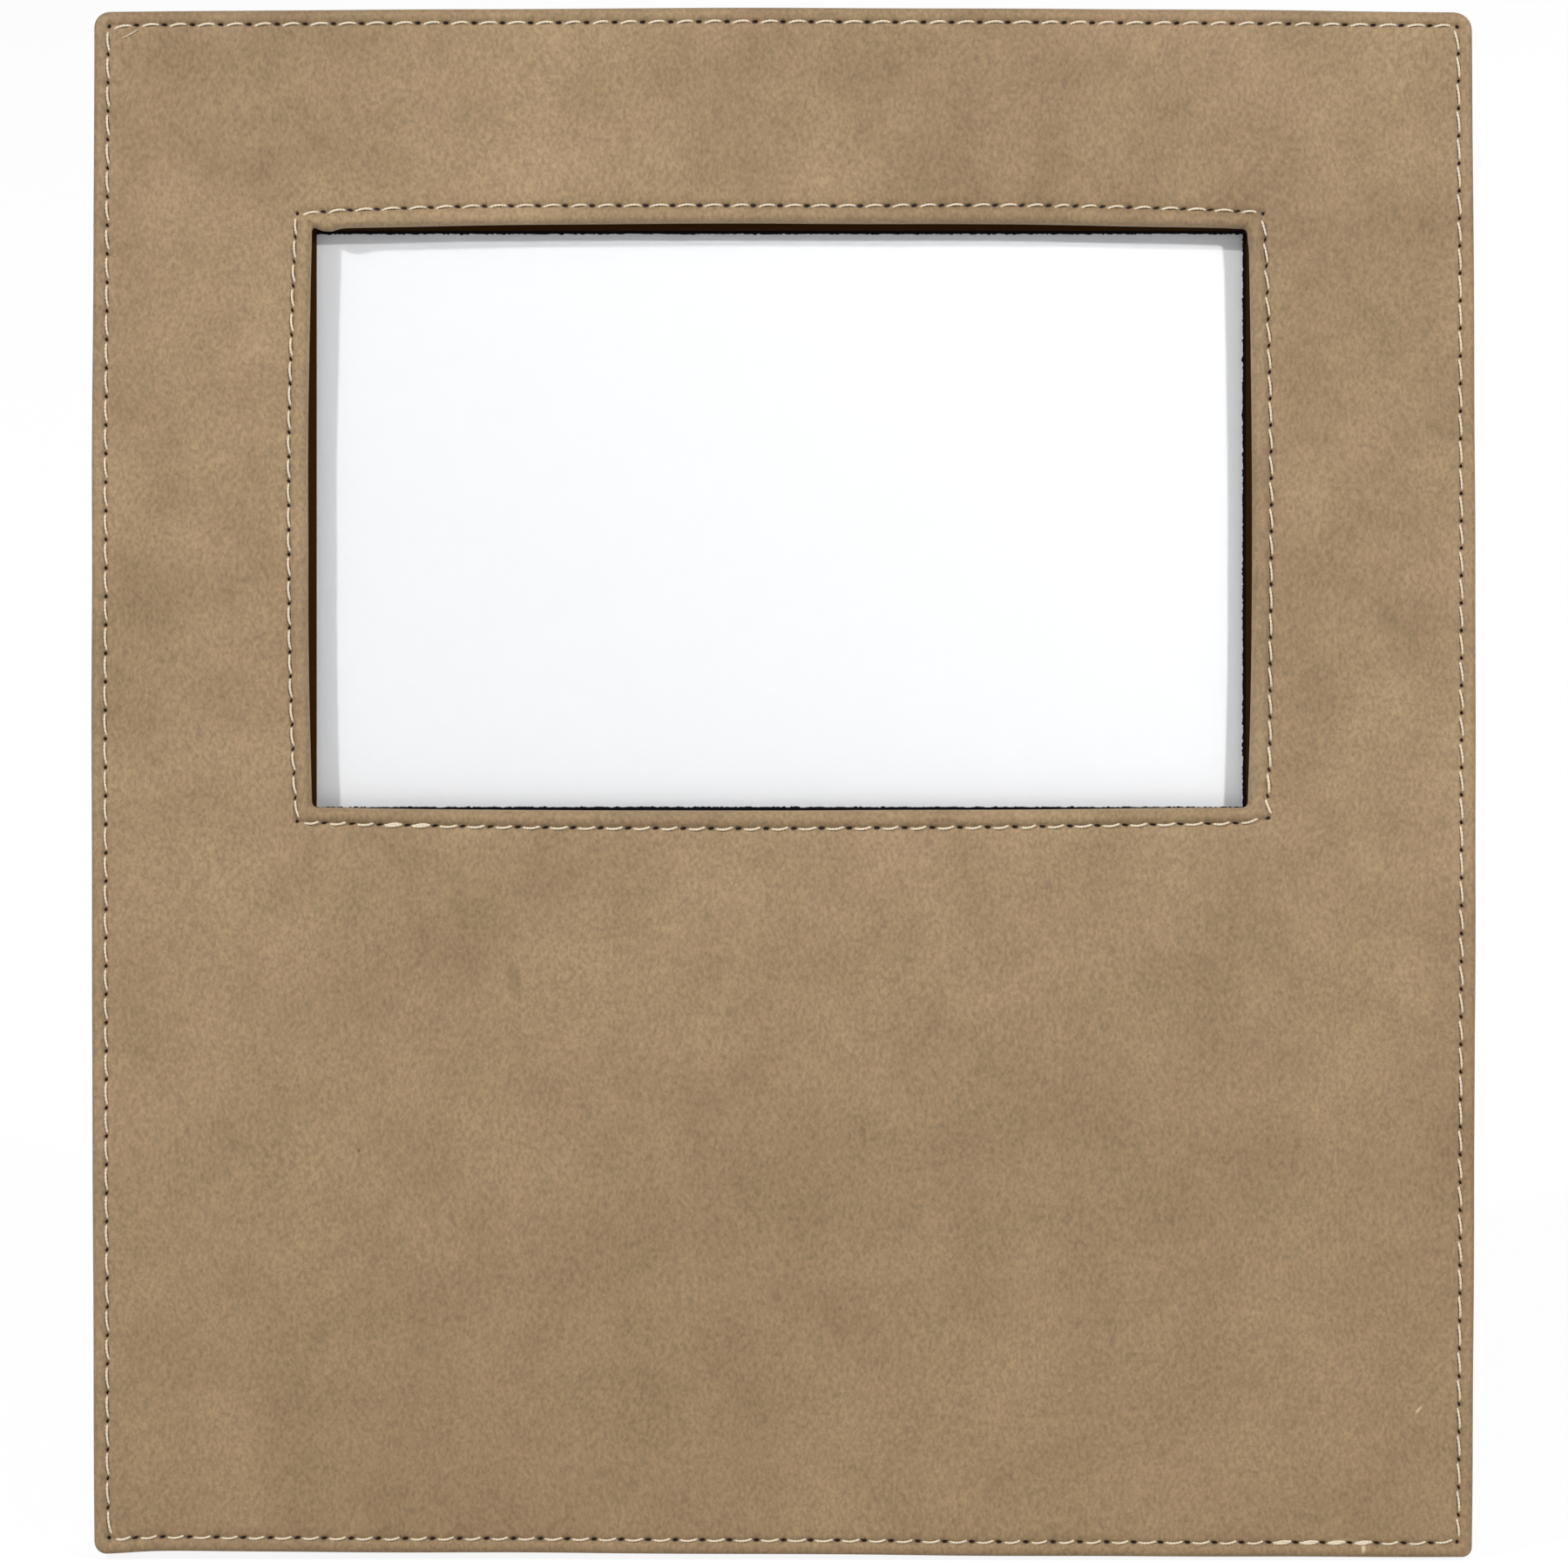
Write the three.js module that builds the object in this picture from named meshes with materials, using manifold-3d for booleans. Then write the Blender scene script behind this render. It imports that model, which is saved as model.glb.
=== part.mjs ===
// Leatherette photo frame that stands on an easel leg, in millimetres, +Z up, face towards -Y.
//
// The front is a greyboard panel wrapped in leatherette, with a landscape window in its upper half
// and a row of stitches round its outer edge and round the window. Behind it lie a black liner
// card, a clear sheet, a blank insert card between spacers, and a lined back board. A leg hinged on
// the back opens against a stop in its hinge.
//
// Panel pieces are drawn in panel coordinates: x to the right, z up the panel from its bottom edge,
// y = 0 at the rear face of the back lining. Leg pieces are drawn from the hinge axis, folded.

import * as THREE from 'three';
import { ParametricGeometry } from 'three/addons/geometries/ParametricGeometry.js';
import { mergeVertices } from 'three/addons/utils/BufferGeometryUtils.js';
import Module from 'manifold-3d';

const wasm = await Module();
wasm.setup();

// Panel outline: the wrapped front, whose sides swell a little between the corners
const panelWidth = 215.9;
const panelHeight = 241.3;
const panelCornerRadius = 2.4;
const panelBow = 0.5;

// Window: the opening between the leatherette lips
const windowWidth = 147.1;
const windowHeight = 91.2;
const windowFromTop = 33.8;
const windowShift = -0.5;
const windowCornerRadius = 1.2;
const windowBow = 0.6;
const windowRowBow = 1.2;

// Layer thicknesses, from the front to the back
const skinThickness = 0.9;
const frontBoardThickness = 2.0;
const hemThickness = 0.4;
const linerThickness = 0.6;
const clearThickness = 0.8;
const insertThickness = 0.4;
const pocketSlack = 0.3;
const backBoardThickness = 2.4;
const liningThickness = 0.8;
const glueGap = 0.06;

// Relief of the leatherette along its two edges
const beadHeight = 0.32;
const beadWidth = 1.9;
const rollHeight = 0.36;
const rollWidth = 1.95;
const grooveDepth = 0.46;
const grooveWidth = 0.9;
const outerHemWidth = 12;
const windowHemWidth = 8;

// Stitching
const threadRadius = 0.28;
const threadInHole = 0.55;
const threadClearance = 0.04;
const outerRowInset = 2.25;
const outerStitchPitch = 4.4;
const windowRowOutset = 2.35;
const windowStitchPitch = 4.15;

// Liner, clear sheet, insert card and spacers
const linerLip = 1.0;
const linerBottomLip = 0.3;
const insertWidth = 152.4;
const insertHeight = 101.6;
const clearWidth = 153.0;
const clearHeight = 104.0;
const pocketClearance = 0.4;
const spacerEdgeInset = 1.2;

// Back board and its lining
const backInset = 0.4;
const backCornerRadius = 2.0;

// Easel leg
const leanAngle = THREE.MathUtils.degToRad(11);
const legTilt = THREE.MathUtils.degToRad(9.5);
const hingeHeight = 150;
const legTopWidth = 46;
const legFootWidth = 64;
const legTrim = 10;
const legBoardThickness = 2.0;
const legLiningThickness = 0.6;
const legClearance = 0.4;

// Hinge of the leg
const leafWidth = 38;
const leafHeight = 19;
const leafThickness = 0.6;
const leafCornerRadius = 3;
const barrelRadius = 1.7;
const barrelClearance = 0.3;
const knuckleCount = 5;
const knuckleGap = 0.3;
const pinRadius = 0.7;
const pinClearance = 0.12;
const pinHeadRadius = 1.2;
const pinHeadThickness = 0.5;
const stopClearance = 0.12;
const tongueClearance = 0.5;
const rivetSpacing = 22;
const rivetFromEdge = 5.5;
const rivetRadius = 1.1;
const rivetClearance = 0.12;
const rivetHeadRadius = 2.3;
const rivetHeadHeight = 0.7;

// Facets
const sideSteps = 8;
const cornerSteps = 4;
const roundSteps = 16;
const stationsPerStitch = 3;

// Heights of the layers along y, worked forwards from the rear face of the lining
const liningFront = -liningThickness;
const backBoardRear = liningFront - glueGap;
const backBoardFront = backBoardRear - backBoardThickness;
const pocketRear = backBoardFront - glueGap;
const pocketDepth = insertThickness + clearThickness + pocketSlack;
const pocketFront = pocketRear - pocketDepth;
const linerRear = pocketFront - glueGap;
const linerFront = linerRear - linerThickness;
const hemRear = linerFront - glueGap;
const hemFront = hemRear - hemThickness;
const boardRear = hemFront - glueGap;
const boardFront = boardRear - frontBoardThickness;
const skinRear = boardFront - glueGap;
const faceFront = skinRear - skinThickness;

const windowCentreZ = panelHeight - windowFromTop - windowHeight / 2;
const windowBottom = windowCentreZ - windowHeight / 2;
const skinFold = skinThickness + glueGap;

// Finishes
const finishes = {
  leatherette: { color: 0xa18869, roughness: 0.72, metalness: 0 },
  thread: { color: 0xd9c7a3, roughness: 0.8, metalness: 0 },
  board: { color: 0x8b8276, roughness: 0.95, metalness: 0 },
  blackCard: { color: 0x141317, roughness: 0.95, metalness: 0 },
  clear: { color: 0xf4f7fa, roughness: 0.05, metalness: 0, transparent: true, opacity: 0.25 },
  whiteCard: { color: 0xf7f7f7, roughness: 0.7, metalness: 0 },
  velour: { color: 0x1b1a1c, roughness: 1, metalness: 0 },
  nickel: { color: 0xb9b6ae, roughness: 0.3, metalness: 1 },
};

/** A closed geometry with only its positions, its shared vertices merged. */
function welded(geometry) {
  const bare = geometry.index ? geometry : geometry.clone();
  bare.deleteAttribute('normal');
  bare.deleteAttribute('uv');
  return mergeVertices(bare, 1e-4);
}

/** A solid for joining and cutting, from a closed geometry. */
function toSolid(geometry) {
  const shell = welded(geometry);
  return new wasm.Manifold(new wasm.Mesh({
    numProp: 3,
    vertProperties: new Float32Array(shell.attributes.position.array),
    triVerts: new Uint32Array(shell.index.array),
  }));
}

/** The geometry of a solid that was joined or cut. */
function toGeometry(solid) {
  const shell = solid.getMesh();
  const geometry = new THREE.BufferGeometry();
  geometry.setAttribute('position', new THREE.Float32BufferAttribute(shell.vertProperties, 3));
  geometry.setIndex(new THREE.Uint32BufferAttribute(shell.triVerts, 1));
  geometry.computeVertexNormals();
  return geometry;
}

/** A named mesh with a material of its own. */
function piece(name, geometry, finish) {
  const mesh = new THREE.Mesh(geometry, new THREE.MeshStandardMaterial(finishes[finish]));
  mesh.name = name;
  return mesh;
}

/**
 * A rectangle with round corners and sides that swell by bow between them, as points [x, z].
 * Every outline has the same count of points, so that two can be lofted point to point.
 */
function outline({ width, height, centreX = 0, centreZ = 0, radius, bow = 0 }) {
  const points = [];
  const corners = [[1, -1, -90], [1, 1, 0], [-1, 1, 90], [-1, -1, 180]];
  corners.forEach(([sideX, sideZ, startDegrees], corner) => {
    const arcX = sideX * (width / 2 - radius);
    const arcZ = sideZ * (height / 2 - radius);
    for (let step = 0; step <= cornerSteps; step += 1) {
      const angle = THREE.MathUtils.degToRad(startDegrees + 90 * step / cornerSteps);
      points.push([arcX + radius * Math.cos(angle), arcZ + radius * Math.sin(angle)]);
    }
    const [nextX, nextZ] = corners[(corner + 1) % corners.length];
    const across = sideX === nextX ? 'z' : 'x';
    const reach = (across === 'z' ? height : width) / 2 - radius;
    for (let step = 1; step < sideSteps; step += 1) {
      const along = -1 + 2 * step / sideSteps;
      const swell = bow * (1 - along * along);
      const point = across === 'z'
        ? [sideX * (width / 2 + swell), nextZ * along * reach]
        : [nextX * along * reach, sideZ * (height / 2 + swell)];
      points.push(point);
    }
  });
  return points.map(([x, z]) => [x + centreX, z + centreZ]);
}

/** The panel's outline, moved in by inset. */
function panelOutline(inset) {
  return outline({
    width: panelWidth - panelBow - 2 * inset,
    height: panelHeight - panelBow - 2 * inset,
    centreZ: panelHeight / 2,
    radius: Math.max(panelCornerRadius - inset, 0.3),
    bow: panelBow,
  });
}

/** The window's outline, moved out by outset. The stitched row swells more than the lip. */
function windowOutline(outset) {
  const share = THREE.MathUtils.clamp(outset / windowRowOutset, 0, 1);
  return outline({
    width: windowWidth - windowBow + 2 * outset,
    height: windowHeight - windowBow + 2 * outset,
    centreX: windowShift,
    centreZ: windowCentreZ,
    radius: windowCornerRadius + 0.5 * Math.max(outset, 0),
    bow: THREE.MathUtils.lerp(windowBow, windowRowBow, share),
  });
}

/** A closed ring whose section is a list of [points of an outline, y], joined point to point. */
function loftedRing(section) {
  const stations = section[0][0].length;
  const at = (u, v, target) => {
    const [points, y] = section[Math.round(v * section.length) % section.length];
    const [x, z] = points[Math.round(u * stations) % stations];
    target.set(x, y, z);
  };
  return welded(new ParametricGeometry(at, stations, section.length));
}

/** A flat plate from outlines of points [x, z], between two values of y. */
function plate(points, front, rear, holes = []) {
  const shape = new THREE.Shape(points.map(([x, z]) => new THREE.Vector2(x, z)));
  shape.holes = holes.map((hole) => new THREE.Path(hole.map(([x, z]) => new THREE.Vector2(x, z))));
  const geometry = new THREE.ExtrudeGeometry(shape, { depth: rear - front, bevelEnabled: false });
  geometry.rotateX(Math.PI / 2);
  geometry.translate(0, rear, 0);
  return welded(geometry);
}

/** A rectangle of points [x, z]. */
function rectangle(left, right, bottom, top) {
  return [[left, bottom], [right, bottom], [right, top], [left, top]];
}

/** A round bar along y. */
function roundBar(radius, front, rear, x, z) {
  const geometry = new THREE.CylinderGeometry(radius, radius, rear - front, roundSteps);
  geometry.translate(x, (front + rear) / 2, z);
  return geometry;
}

/** The wrapped leatherette: a skin with its hems, a bead, two stitch grooves and a roll. */
function faceLeatherette() {
  const out = (inset, y) => [panelOutline(inset), y];
  const win = (outset, y) => [windowOutline(outset), y];
  const crown = faceFront;
  const groove = crown + grooveDepth;
  const half = grooveWidth / 2;
  return loftedRing([
    out(outerHemWidth, hemRear),
    out(0.5, hemRear),
    out(0.08, hemRear - hemThickness),
    out(0, crown + 0.9 * skinThickness + frontBoardThickness / 2),
    out(0, crown + 0.9 * skinThickness),
    out(0.22, crown + 0.25 * skinThickness),
    out(0.3 * beadWidth, crown - 0.7 * beadHeight),
    out(0.55 * beadWidth, crown - beadHeight),
    out(0.8 * beadWidth, crown - 0.6 * beadHeight),
    out(outerRowInset - half, crown + 0.35 * grooveDepth),
    out(outerRowInset - 0.6 * half, groove),
    out(outerRowInset + 0.6 * half, groove),
    out(outerRowInset + half, crown + 0.3 * grooveDepth),
    out(outerRowInset + 3 * half, crown),
    win(windowRowOutset + 3 * half, crown),
    win(windowRowOutset + half, crown + 0.3 * grooveDepth),
    win(windowRowOutset + 0.6 * half, groove),
    win(windowRowOutset - 0.6 * half, groove),
    win(rollWidth, crown + 0.2 * grooveDepth),
    win(0.75 * rollWidth, crown - 0.7 * rollHeight),
    win(0.5 * rollWidth, crown - rollHeight),
    win(0.22 * rollWidth, crown - 0.5 * rollHeight),
    win(0.05 * rollWidth, crown + 0.35 * skinThickness),
    win(0, crown + 1.1 * skinThickness),
    win(0.04, hemFront),
    win(0.5, hemRear),
    win(windowHemWidth, hemRear),
    win(windowHemWidth, hemFront),
    win(skinThickness, hemFront),
    win(skinThickness, skinRear),
    out(skinThickness, skinRear),
    out(skinThickness, hemFront),
    out(outerHemWidth, hemFront),
  ]);
}

/** The greyboard inside the leatherette, with its window. */
function frontBoard() {
  const edge = panelOutline(skinFold);
  const opening = windowOutline(skinFold);
  return plate(edge, boardFront, boardRear, [opening]);
}

/**
 * A thread laid in a groove: a closed tube along a row, full at the middle of each stitch and
 * narrow where it goes down a needle hole. It lies on the floor of the groove.
 */
function stitchedThread(row, pitch) {
  const path = new THREE.CurvePath();
  row.forEach(([x, z], index) => {
    const [nextX, nextZ] = row[(index + 1) % row.length];
    path.add(new THREE.LineCurve3(new THREE.Vector3(x, 0, z), new THREE.Vector3(nextX, 0, nextZ)));
  });
  const stitches = Math.round(path.getLength() / pitch);
  const stations = stitches * stationsPerStitch;
  const sides = 3;
  const floor = faceFront + grooveDepth - threadClearance;
  const at = (u, v, target) => {
    const station = Math.round(u * stations) % stations;
    const corner = Math.round(v * sides) % sides;
    const inHole = station % stationsPerStitch === 0;
    const radius = threadRadius * (inHole ? threadInHole : 1);
    const share = station / stations;
    const centre = path.getPointAt(share);
    const tangent = path.getTangentAt(share);
    const angle = 2 * Math.PI * corner / sides - Math.PI / 6;
    const sideways = radius * Math.cos(angle);
    const lift = radius * (Math.sin(angle) + Math.sin(Math.PI / 6));
    target.set(centre.x + tangent.z * sideways, floor - lift, centre.z - tangent.x * sideways);
  };
  return welded(new ParametricGeometry(at, stations, sides));
}

/** The black card behind the window, which shows as a thin edge inside the lips. */
function windowLiner() {
  const edge = panelWidth / 2 - spacerEdgeInset;
  const outer = rectangle(-edge, edge, spacerEdgeInset, panelHeight - spacerEdgeInset);
  const halfWidth = windowWidth / 2 - linerLip;
  const opening = rectangle(
    windowShift - halfWidth, windowShift + halfWidth,
    windowBottom + linerBottomLip, windowBottom + windowHeight - linerLip,
  );
  return plate(outer, linerFront, linerRear, [opening]);
}

const pocketLeft = windowShift - clearWidth / 2 - pocketClearance;
const pocketRight = windowShift + clearWidth / 2 + pocketClearance;
const pocketBottom = windowCentreZ - insertHeight / 2 - glueGap;

/** The clear sheet, glued behind the liner. */
function clearSheet() {
  const left = windowShift - clearWidth / 2;
  const bottom = pocketBottom + glueGap;
  const outer = rectangle(left, left + clearWidth, bottom, bottom + clearHeight);
  return plate(outer, pocketFront, pocketFront + clearThickness);
}

/** The blank insert card, which stands on the bottom spacer behind the clear sheet. */
function insertCard() {
  const left = windowShift - insertWidth / 2;
  const bottom = pocketBottom + glueGap;
  const front = pocketFront + clearThickness + glueGap;
  const outer = rectangle(left, left + insertWidth, bottom, bottom + insertHeight);
  return plate(outer, front, front + insertThickness);
}

/** One of the three strips that leave the pocket open at the top. */
function spacer(side) {
  const edge = panelWidth / 2 - spacerEdgeInset;
  const top = panelHeight - spacerEdgeInset;
  const outers = {
    left: rectangle(-edge, pocketLeft, spacerEdgeInset, top),
    right: rectangle(pocketRight, edge, spacerEdgeInset, top),
    bottom: rectangle(pocketLeft + glueGap, pocketRight - glueGap, spacerEdgeInset, pocketBottom),
  };
  return plate(outers[side], pocketFront, pocketRear);
}

/** The outline of the back board and its lining, with straight sides. */
function backOutline() {
  return outline({
    width: panelWidth - 2 * backInset,
    height: panelHeight - 2 * backInset,
    centreZ: panelHeight / 2,
    radius: backCornerRadius,
  });
}

const rivetPlaces = [-rivetSpacing / 2, rivetSpacing / 2];
const backRivetZ = hingeHeight + leafHeight - rivetFromEdge;
const legRivetZ = -leafHeight + rivetFromEdge;

/** Cuts the two rivet holes out of a geometry, at a height z. */
function riveted(geometry, z) {
  const reach = 2 * (backBoardThickness + liningThickness + legBoardThickness + barrelRadius);
  const drilled = rivetPlaces.reduce((solid, x) => (
    solid.subtract(toSolid(roundBar(rivetRadius + rivetClearance, -reach, reach, x, z)))
  ), toSolid(geometry));
  return toGeometry(drilled);
}

/** The back board, with holes for the hinge's rivets. */
function backBoard() {
  return riveted(plate(backOutline(), backBoardFront, backBoardRear), backRivetZ);
}

/** The lining over the back board. */
function backLining() {
  return riveted(plate(backOutline(), liningFront, 0), backRivetZ);
}

// Places along y in leg coordinates, from the hinge axis, with the leg folded
const axisOffset = barrelRadius + barrelClearance;
const legInner = legClearance - axisOffset;
const legBoardOuter = legInner + legBoardThickness;
const legLiningOuter = legBoardOuter + glueGap + legLiningThickness;
const legLeafInner = legLiningOuter + glueGap;
const legLeafOuter = legLeafInner + leafThickness;
const legTop = -(barrelRadius + knuckleGap);

// Height of the hinge axis over the surface that the frame stands on, with the frame leaning
const axisHeight = (hingeHeight - backInset) * Math.cos(leanAngle) - axisOffset * Math.sin(leanAngle);
const openAngle = leanAngle + legTilt;

/** A tapered leg plate, its foot cut level for the open leg. */
function legPlate(front, rear) {
  const reach = axisHeight / Math.cos(legTilt) + legTrim;
  const shape = [
    [-legTopWidth / 2, legTop], [-legFootWidth / 2, -reach],
    [legFootWidth / 2, -reach], [legTopWidth / 2, legTop],
  ];
  const floorSize = 4 * legFootWidth;
  const floor = new THREE.BoxGeometry(floorSize, floorSize, floorSize);
  floor.translate(0, 0, -floorSize / 2 - axisHeight);
  floor.rotateX(-legTilt);
  const blank = toSolid(plate(shape, front, rear));
  return toGeometry(blank.subtract(toSolid(floor)));
}

/** The leg's board. */
function legBoard() {
  return riveted(legPlate(legInner, legBoardOuter), legRivetZ);
}

/** The lining on the outer side of the leg. */
function legLining() {
  return riveted(legPlate(legBoardOuter + glueGap, legLiningOuter), legRivetZ);
}

/** The span along x of one knuckle. */
function knuckleSpan(index) {
  const pitch = leafWidth / knuckleCount;
  const left = -leafWidth / 2 + index * pitch;
  return [left + knuckleGap / 2, left + pitch - knuckleGap / 2];
}

/** A round bar along x about the hinge axis. */
function axialBar(radius, left, right) {
  const geometry = new THREE.CylinderGeometry(radius, radius, right - left, roundSteps);
  geometry.rotateZ(Math.PI / 2);
  geometry.translate((left + right) / 2, 0, 0);
  return geometry;
}

/** A leaf's flat part with two round corners, from the barrel out to side * leafHeight. */
function leafPlate(front, rear, side) {
  const root = side * (barrelRadius + knuckleGap);
  const end = side * leafHeight;
  const half = leafWidth / 2;
  const shape = new THREE.Shape();
  shape.moveTo(-half, root);
  shape.lineTo(half, root);
  shape.lineTo(half, end - side * leafCornerRadius);
  shape.quadraticCurveTo(half, end, half - leafCornerRadius, end);
  shape.lineTo(-half + leafCornerRadius, end);
  shape.quadraticCurveTo(-half, end, -half, end - side * leafCornerRadius);
  const points = shape.extractPoints(cornerSteps).shape.map((point) => [point.x, point.y]);
  return plate(points, front, rear);
}

/** Joins a leaf's plate with its knuckles, bored for the pin. */
function leaf(front, rear, side, knuckles) {
  let solid = toSolid(leafPlate(front, rear, side));
  knuckles.forEach((index) => {
    const [left, right] = knuckleSpan(index);
    const far = side * (barrelRadius + 2 * knuckleGap);
    const neck = rectangle(left, right, Math.min(0, far), Math.max(0, far));
    solid = solid.add(toSolid(axialBar(barrelRadius, left, right)));
    solid = solid.add(toSolid(plate(neck, front, rear)));
  });
  return solid;
}

/** Bores a leaf for the pin. */
function bored(solid) {
  return toGeometry(solid.subtract(toSolid(axialBar(pinRadius + pinClearance, -leafWidth, leafWidth))));
}

/** The leaf on the back of the frame, with the odd knuckles. */
function hingeBackLeaf() {
  const front = glueGap - axisOffset;
  const knuckles = [...Array(knuckleCount).keys()].filter((index) => index % 2 === 0);
  return riveted(bored(leaf(front, front + leafThickness, 1, knuckles)), backRivetZ - hingeHeight);
}

/**
 * The leaf on the leg, with the even knuckles. A tongue beyond each knuckle meets the other leaf
 * when the leg is open, and stops it there.
 */
function hingeLegLeaf() {
  const backLeafOuter = glueGap - axisOffset + leafThickness;
  const drop = legLeafInner * Math.cos(openAngle) - backLeafOuter - stopClearance;
  const tongueLength = drop / Math.sin(openAngle);
  const knuckles = [...Array(knuckleCount).keys()].filter((index) => index % 2 === 1);
  let solid = leaf(legLeafInner, legLeafOuter, -1, knuckles);
  knuckles.forEach((index) => {
    const [left, right] = knuckleSpan(index);
    const tongue = rectangle(left + tongueClearance, right - tongueClearance, 0, tongueLength);
    solid = solid.add(toSolid(plate(tongue, legLeafInner, legLeafOuter)));
  });
  return riveted(bored(solid), legRivetZ);
}

/** The hinge pin, with a head at each end. */
function hingePin() {
  const half = leafWidth / 2 + knuckleGap / 2;
  const end = half + pinHeadThickness;
  const profile = [
    [0, -end], [pinHeadRadius, -end], [pinHeadRadius, -half], [pinRadius, -half],
    [pinRadius, half], [pinHeadRadius, half], [pinHeadRadius, end], [0, end],
  ].map(([radius, along]) => new THREE.Vector2(radius, along));
  const geometry = new THREE.LatheGeometry(profile, roundSteps);
  geometry.rotateZ(Math.PI / 2);
  return welded(geometry);
}

/** A rivet along y: a domed head on the leaf at y = seat, and a shank that ends at y = tail. */
function rivet(seat, tail, x, z) {
  const rim = seat + glueGap;
  const profile = [
    [0, tail], [rivetRadius, tail], [rivetRadius, rim], [rivetHeadRadius, rim],
    [rivetHeadRadius, rim + 0.25 * rivetHeadHeight],
    [0.7 * rivetHeadRadius, rim + 0.8 * rivetHeadHeight], [0, rim + rivetHeadHeight],
  ].map(([radius, along]) => new THREE.Vector2(radius, along));
  const geometry = new THREE.LatheGeometry(profile, roundSteps);
  geometry.translate(x, 0, z);
  return welded(geometry);
}

/** The front: leatherette, its board, the stitching and the black liner. */
function buildFront() {
  const front = new THREE.Group();
  front.add(
    piece('face_leatherette', faceLeatherette(), 'leatherette'),
    piece('front_board', frontBoard(), 'board'),
    piece('outer_stitching', stitchedThread(panelOutline(outerRowInset), outerStitchPitch), 'thread'),
    piece('window_stitching', stitchedThread(windowOutline(windowRowOutset), windowStitchPitch), 'thread'),
    piece('window_liner', windowLiner(), 'blackCard'),
  );
  return front;
}

/** The pocket: clear sheet, insert card and spacers. */
function buildPocket() {
  const pocket = new THREE.Group();
  pocket.add(
    piece('clear_sheet', clearSheet(), 'clear'),
    piece('insert_card', insertCard(), 'whiteCard'),
  );
  for (const side of ['left', 'right', 'bottom']) {
    pocket.add(piece(`spacer_${side}`, spacer(side), 'board'));
  }
  return pocket;
}

/** The back: board, lining, and the hinge parts that are fixed to them. */
function buildBack() {
  const back = new THREE.Group();
  back.add(
    piece('back_board', backBoard(), 'board'),
    piece('back_lining', backLining(), 'velour'),
  );
  const hinge = new THREE.Group();
  hinge.position.set(0, axisOffset, hingeHeight);
  hinge.add(
    piece('hinge_back_leaf', hingeBackLeaf(), 'nickel'),
    piece('hinge_pin', hingePin(), 'nickel'),
  );
  const seat = glueGap - axisOffset + leafThickness;
  const tail = backBoardFront + glueGap - axisOffset;
  rivetPlaces.forEach((x, index) => {
    const geometry = rivet(seat, tail, x, backRivetZ - hingeHeight);
    hinge.add(piece(`back_rivet_${index + 1}`, geometry, 'nickel'));
  });
  back.add(hinge);
  return back;
}

/** The easel leg, open against its stop. */
function buildLeg() {
  const leg = new THREE.Group();
  leg.position.set(0, axisOffset, hingeHeight);
  leg.rotation.x = openAngle;
  leg.add(
    piece('leg_board', legBoard(), 'board'),
    piece('leg_lining', legLining(), 'velour'),
    piece('hinge_leg_leaf', hingeLegLeaf(), 'nickel'),
  );
  rivetPlaces.forEach((x, index) => {
    const geometry = rivet(legLeafOuter, legInner + glueGap, x, legRivetZ);
    leg.add(piece(`leg_rivet_${index + 1}`, geometry, 'nickel'));
  });
  return leg;
}

/** The whole frame, leaning back on its leg, with its origin at the bottom centre of its box. */
function buildPhotoFrame() {
  const panel = new THREE.Group();
  panel.rotation.x = -leanAngle;
  panel.add(buildFront(), buildPocket(), buildBack(), buildLeg());
  const photoFrame = new THREE.Group();
  photoFrame.add(panel);
  photoFrame.updateMatrixWorld(true);
  const box = new THREE.Box3().setFromObject(photoFrame, true);
  const centre = box.getCenter(new THREE.Vector3());
  panel.position.set(-centre.x, -centre.y, -box.min.z);
  return photoFrame;
}

export default buildPhotoFrame();
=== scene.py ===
"""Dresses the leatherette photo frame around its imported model.

The frame leans back on an easel leg. The front is a board wrapped in tan leatherette, with a row
of stitches round its outer edge and another round its window. A black liner edge and a white card
show in the window. The back and the leg are covered in black velour, and the leg has a nickel hinge.

Meshes are drawn in panel millimetres: x to the right, z up the panel, y to the back, with y = 0 at
the rear face of the back lining. PanelPlane turns them to the model's metres.
"""

import logging
import math
from dataclasses import dataclass
from enum import Enum
from typing import Any, Sequence

import bmesh
import bpy
import numpy as np
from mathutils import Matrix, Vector, noise
from mathutils.geometry import delaunay_2d_cdt


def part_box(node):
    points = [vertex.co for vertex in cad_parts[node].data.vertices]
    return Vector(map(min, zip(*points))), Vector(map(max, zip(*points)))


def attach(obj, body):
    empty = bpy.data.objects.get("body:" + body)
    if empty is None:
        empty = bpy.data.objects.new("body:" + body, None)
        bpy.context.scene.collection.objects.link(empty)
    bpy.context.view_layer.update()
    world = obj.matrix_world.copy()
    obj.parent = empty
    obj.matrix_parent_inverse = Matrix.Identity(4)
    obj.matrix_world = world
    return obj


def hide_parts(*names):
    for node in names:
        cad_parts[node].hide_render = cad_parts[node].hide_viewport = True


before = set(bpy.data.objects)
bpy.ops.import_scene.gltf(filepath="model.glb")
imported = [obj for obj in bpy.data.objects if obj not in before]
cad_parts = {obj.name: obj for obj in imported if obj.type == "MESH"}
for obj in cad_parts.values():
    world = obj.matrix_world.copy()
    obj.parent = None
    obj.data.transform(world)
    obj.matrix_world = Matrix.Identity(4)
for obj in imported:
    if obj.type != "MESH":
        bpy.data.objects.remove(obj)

LOG = logging.getLogger("photo_frame")
MM = 0.001
PANEL_BODY = "panel"
FACE_Y = -8.96
OUTWARD = np.array([0.0, -1.0, 0.0])
HOLE_LONG = 0.5
HOLE_SHORT = 0.3
CLEAR_OF_HOLE = 9.0

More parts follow.
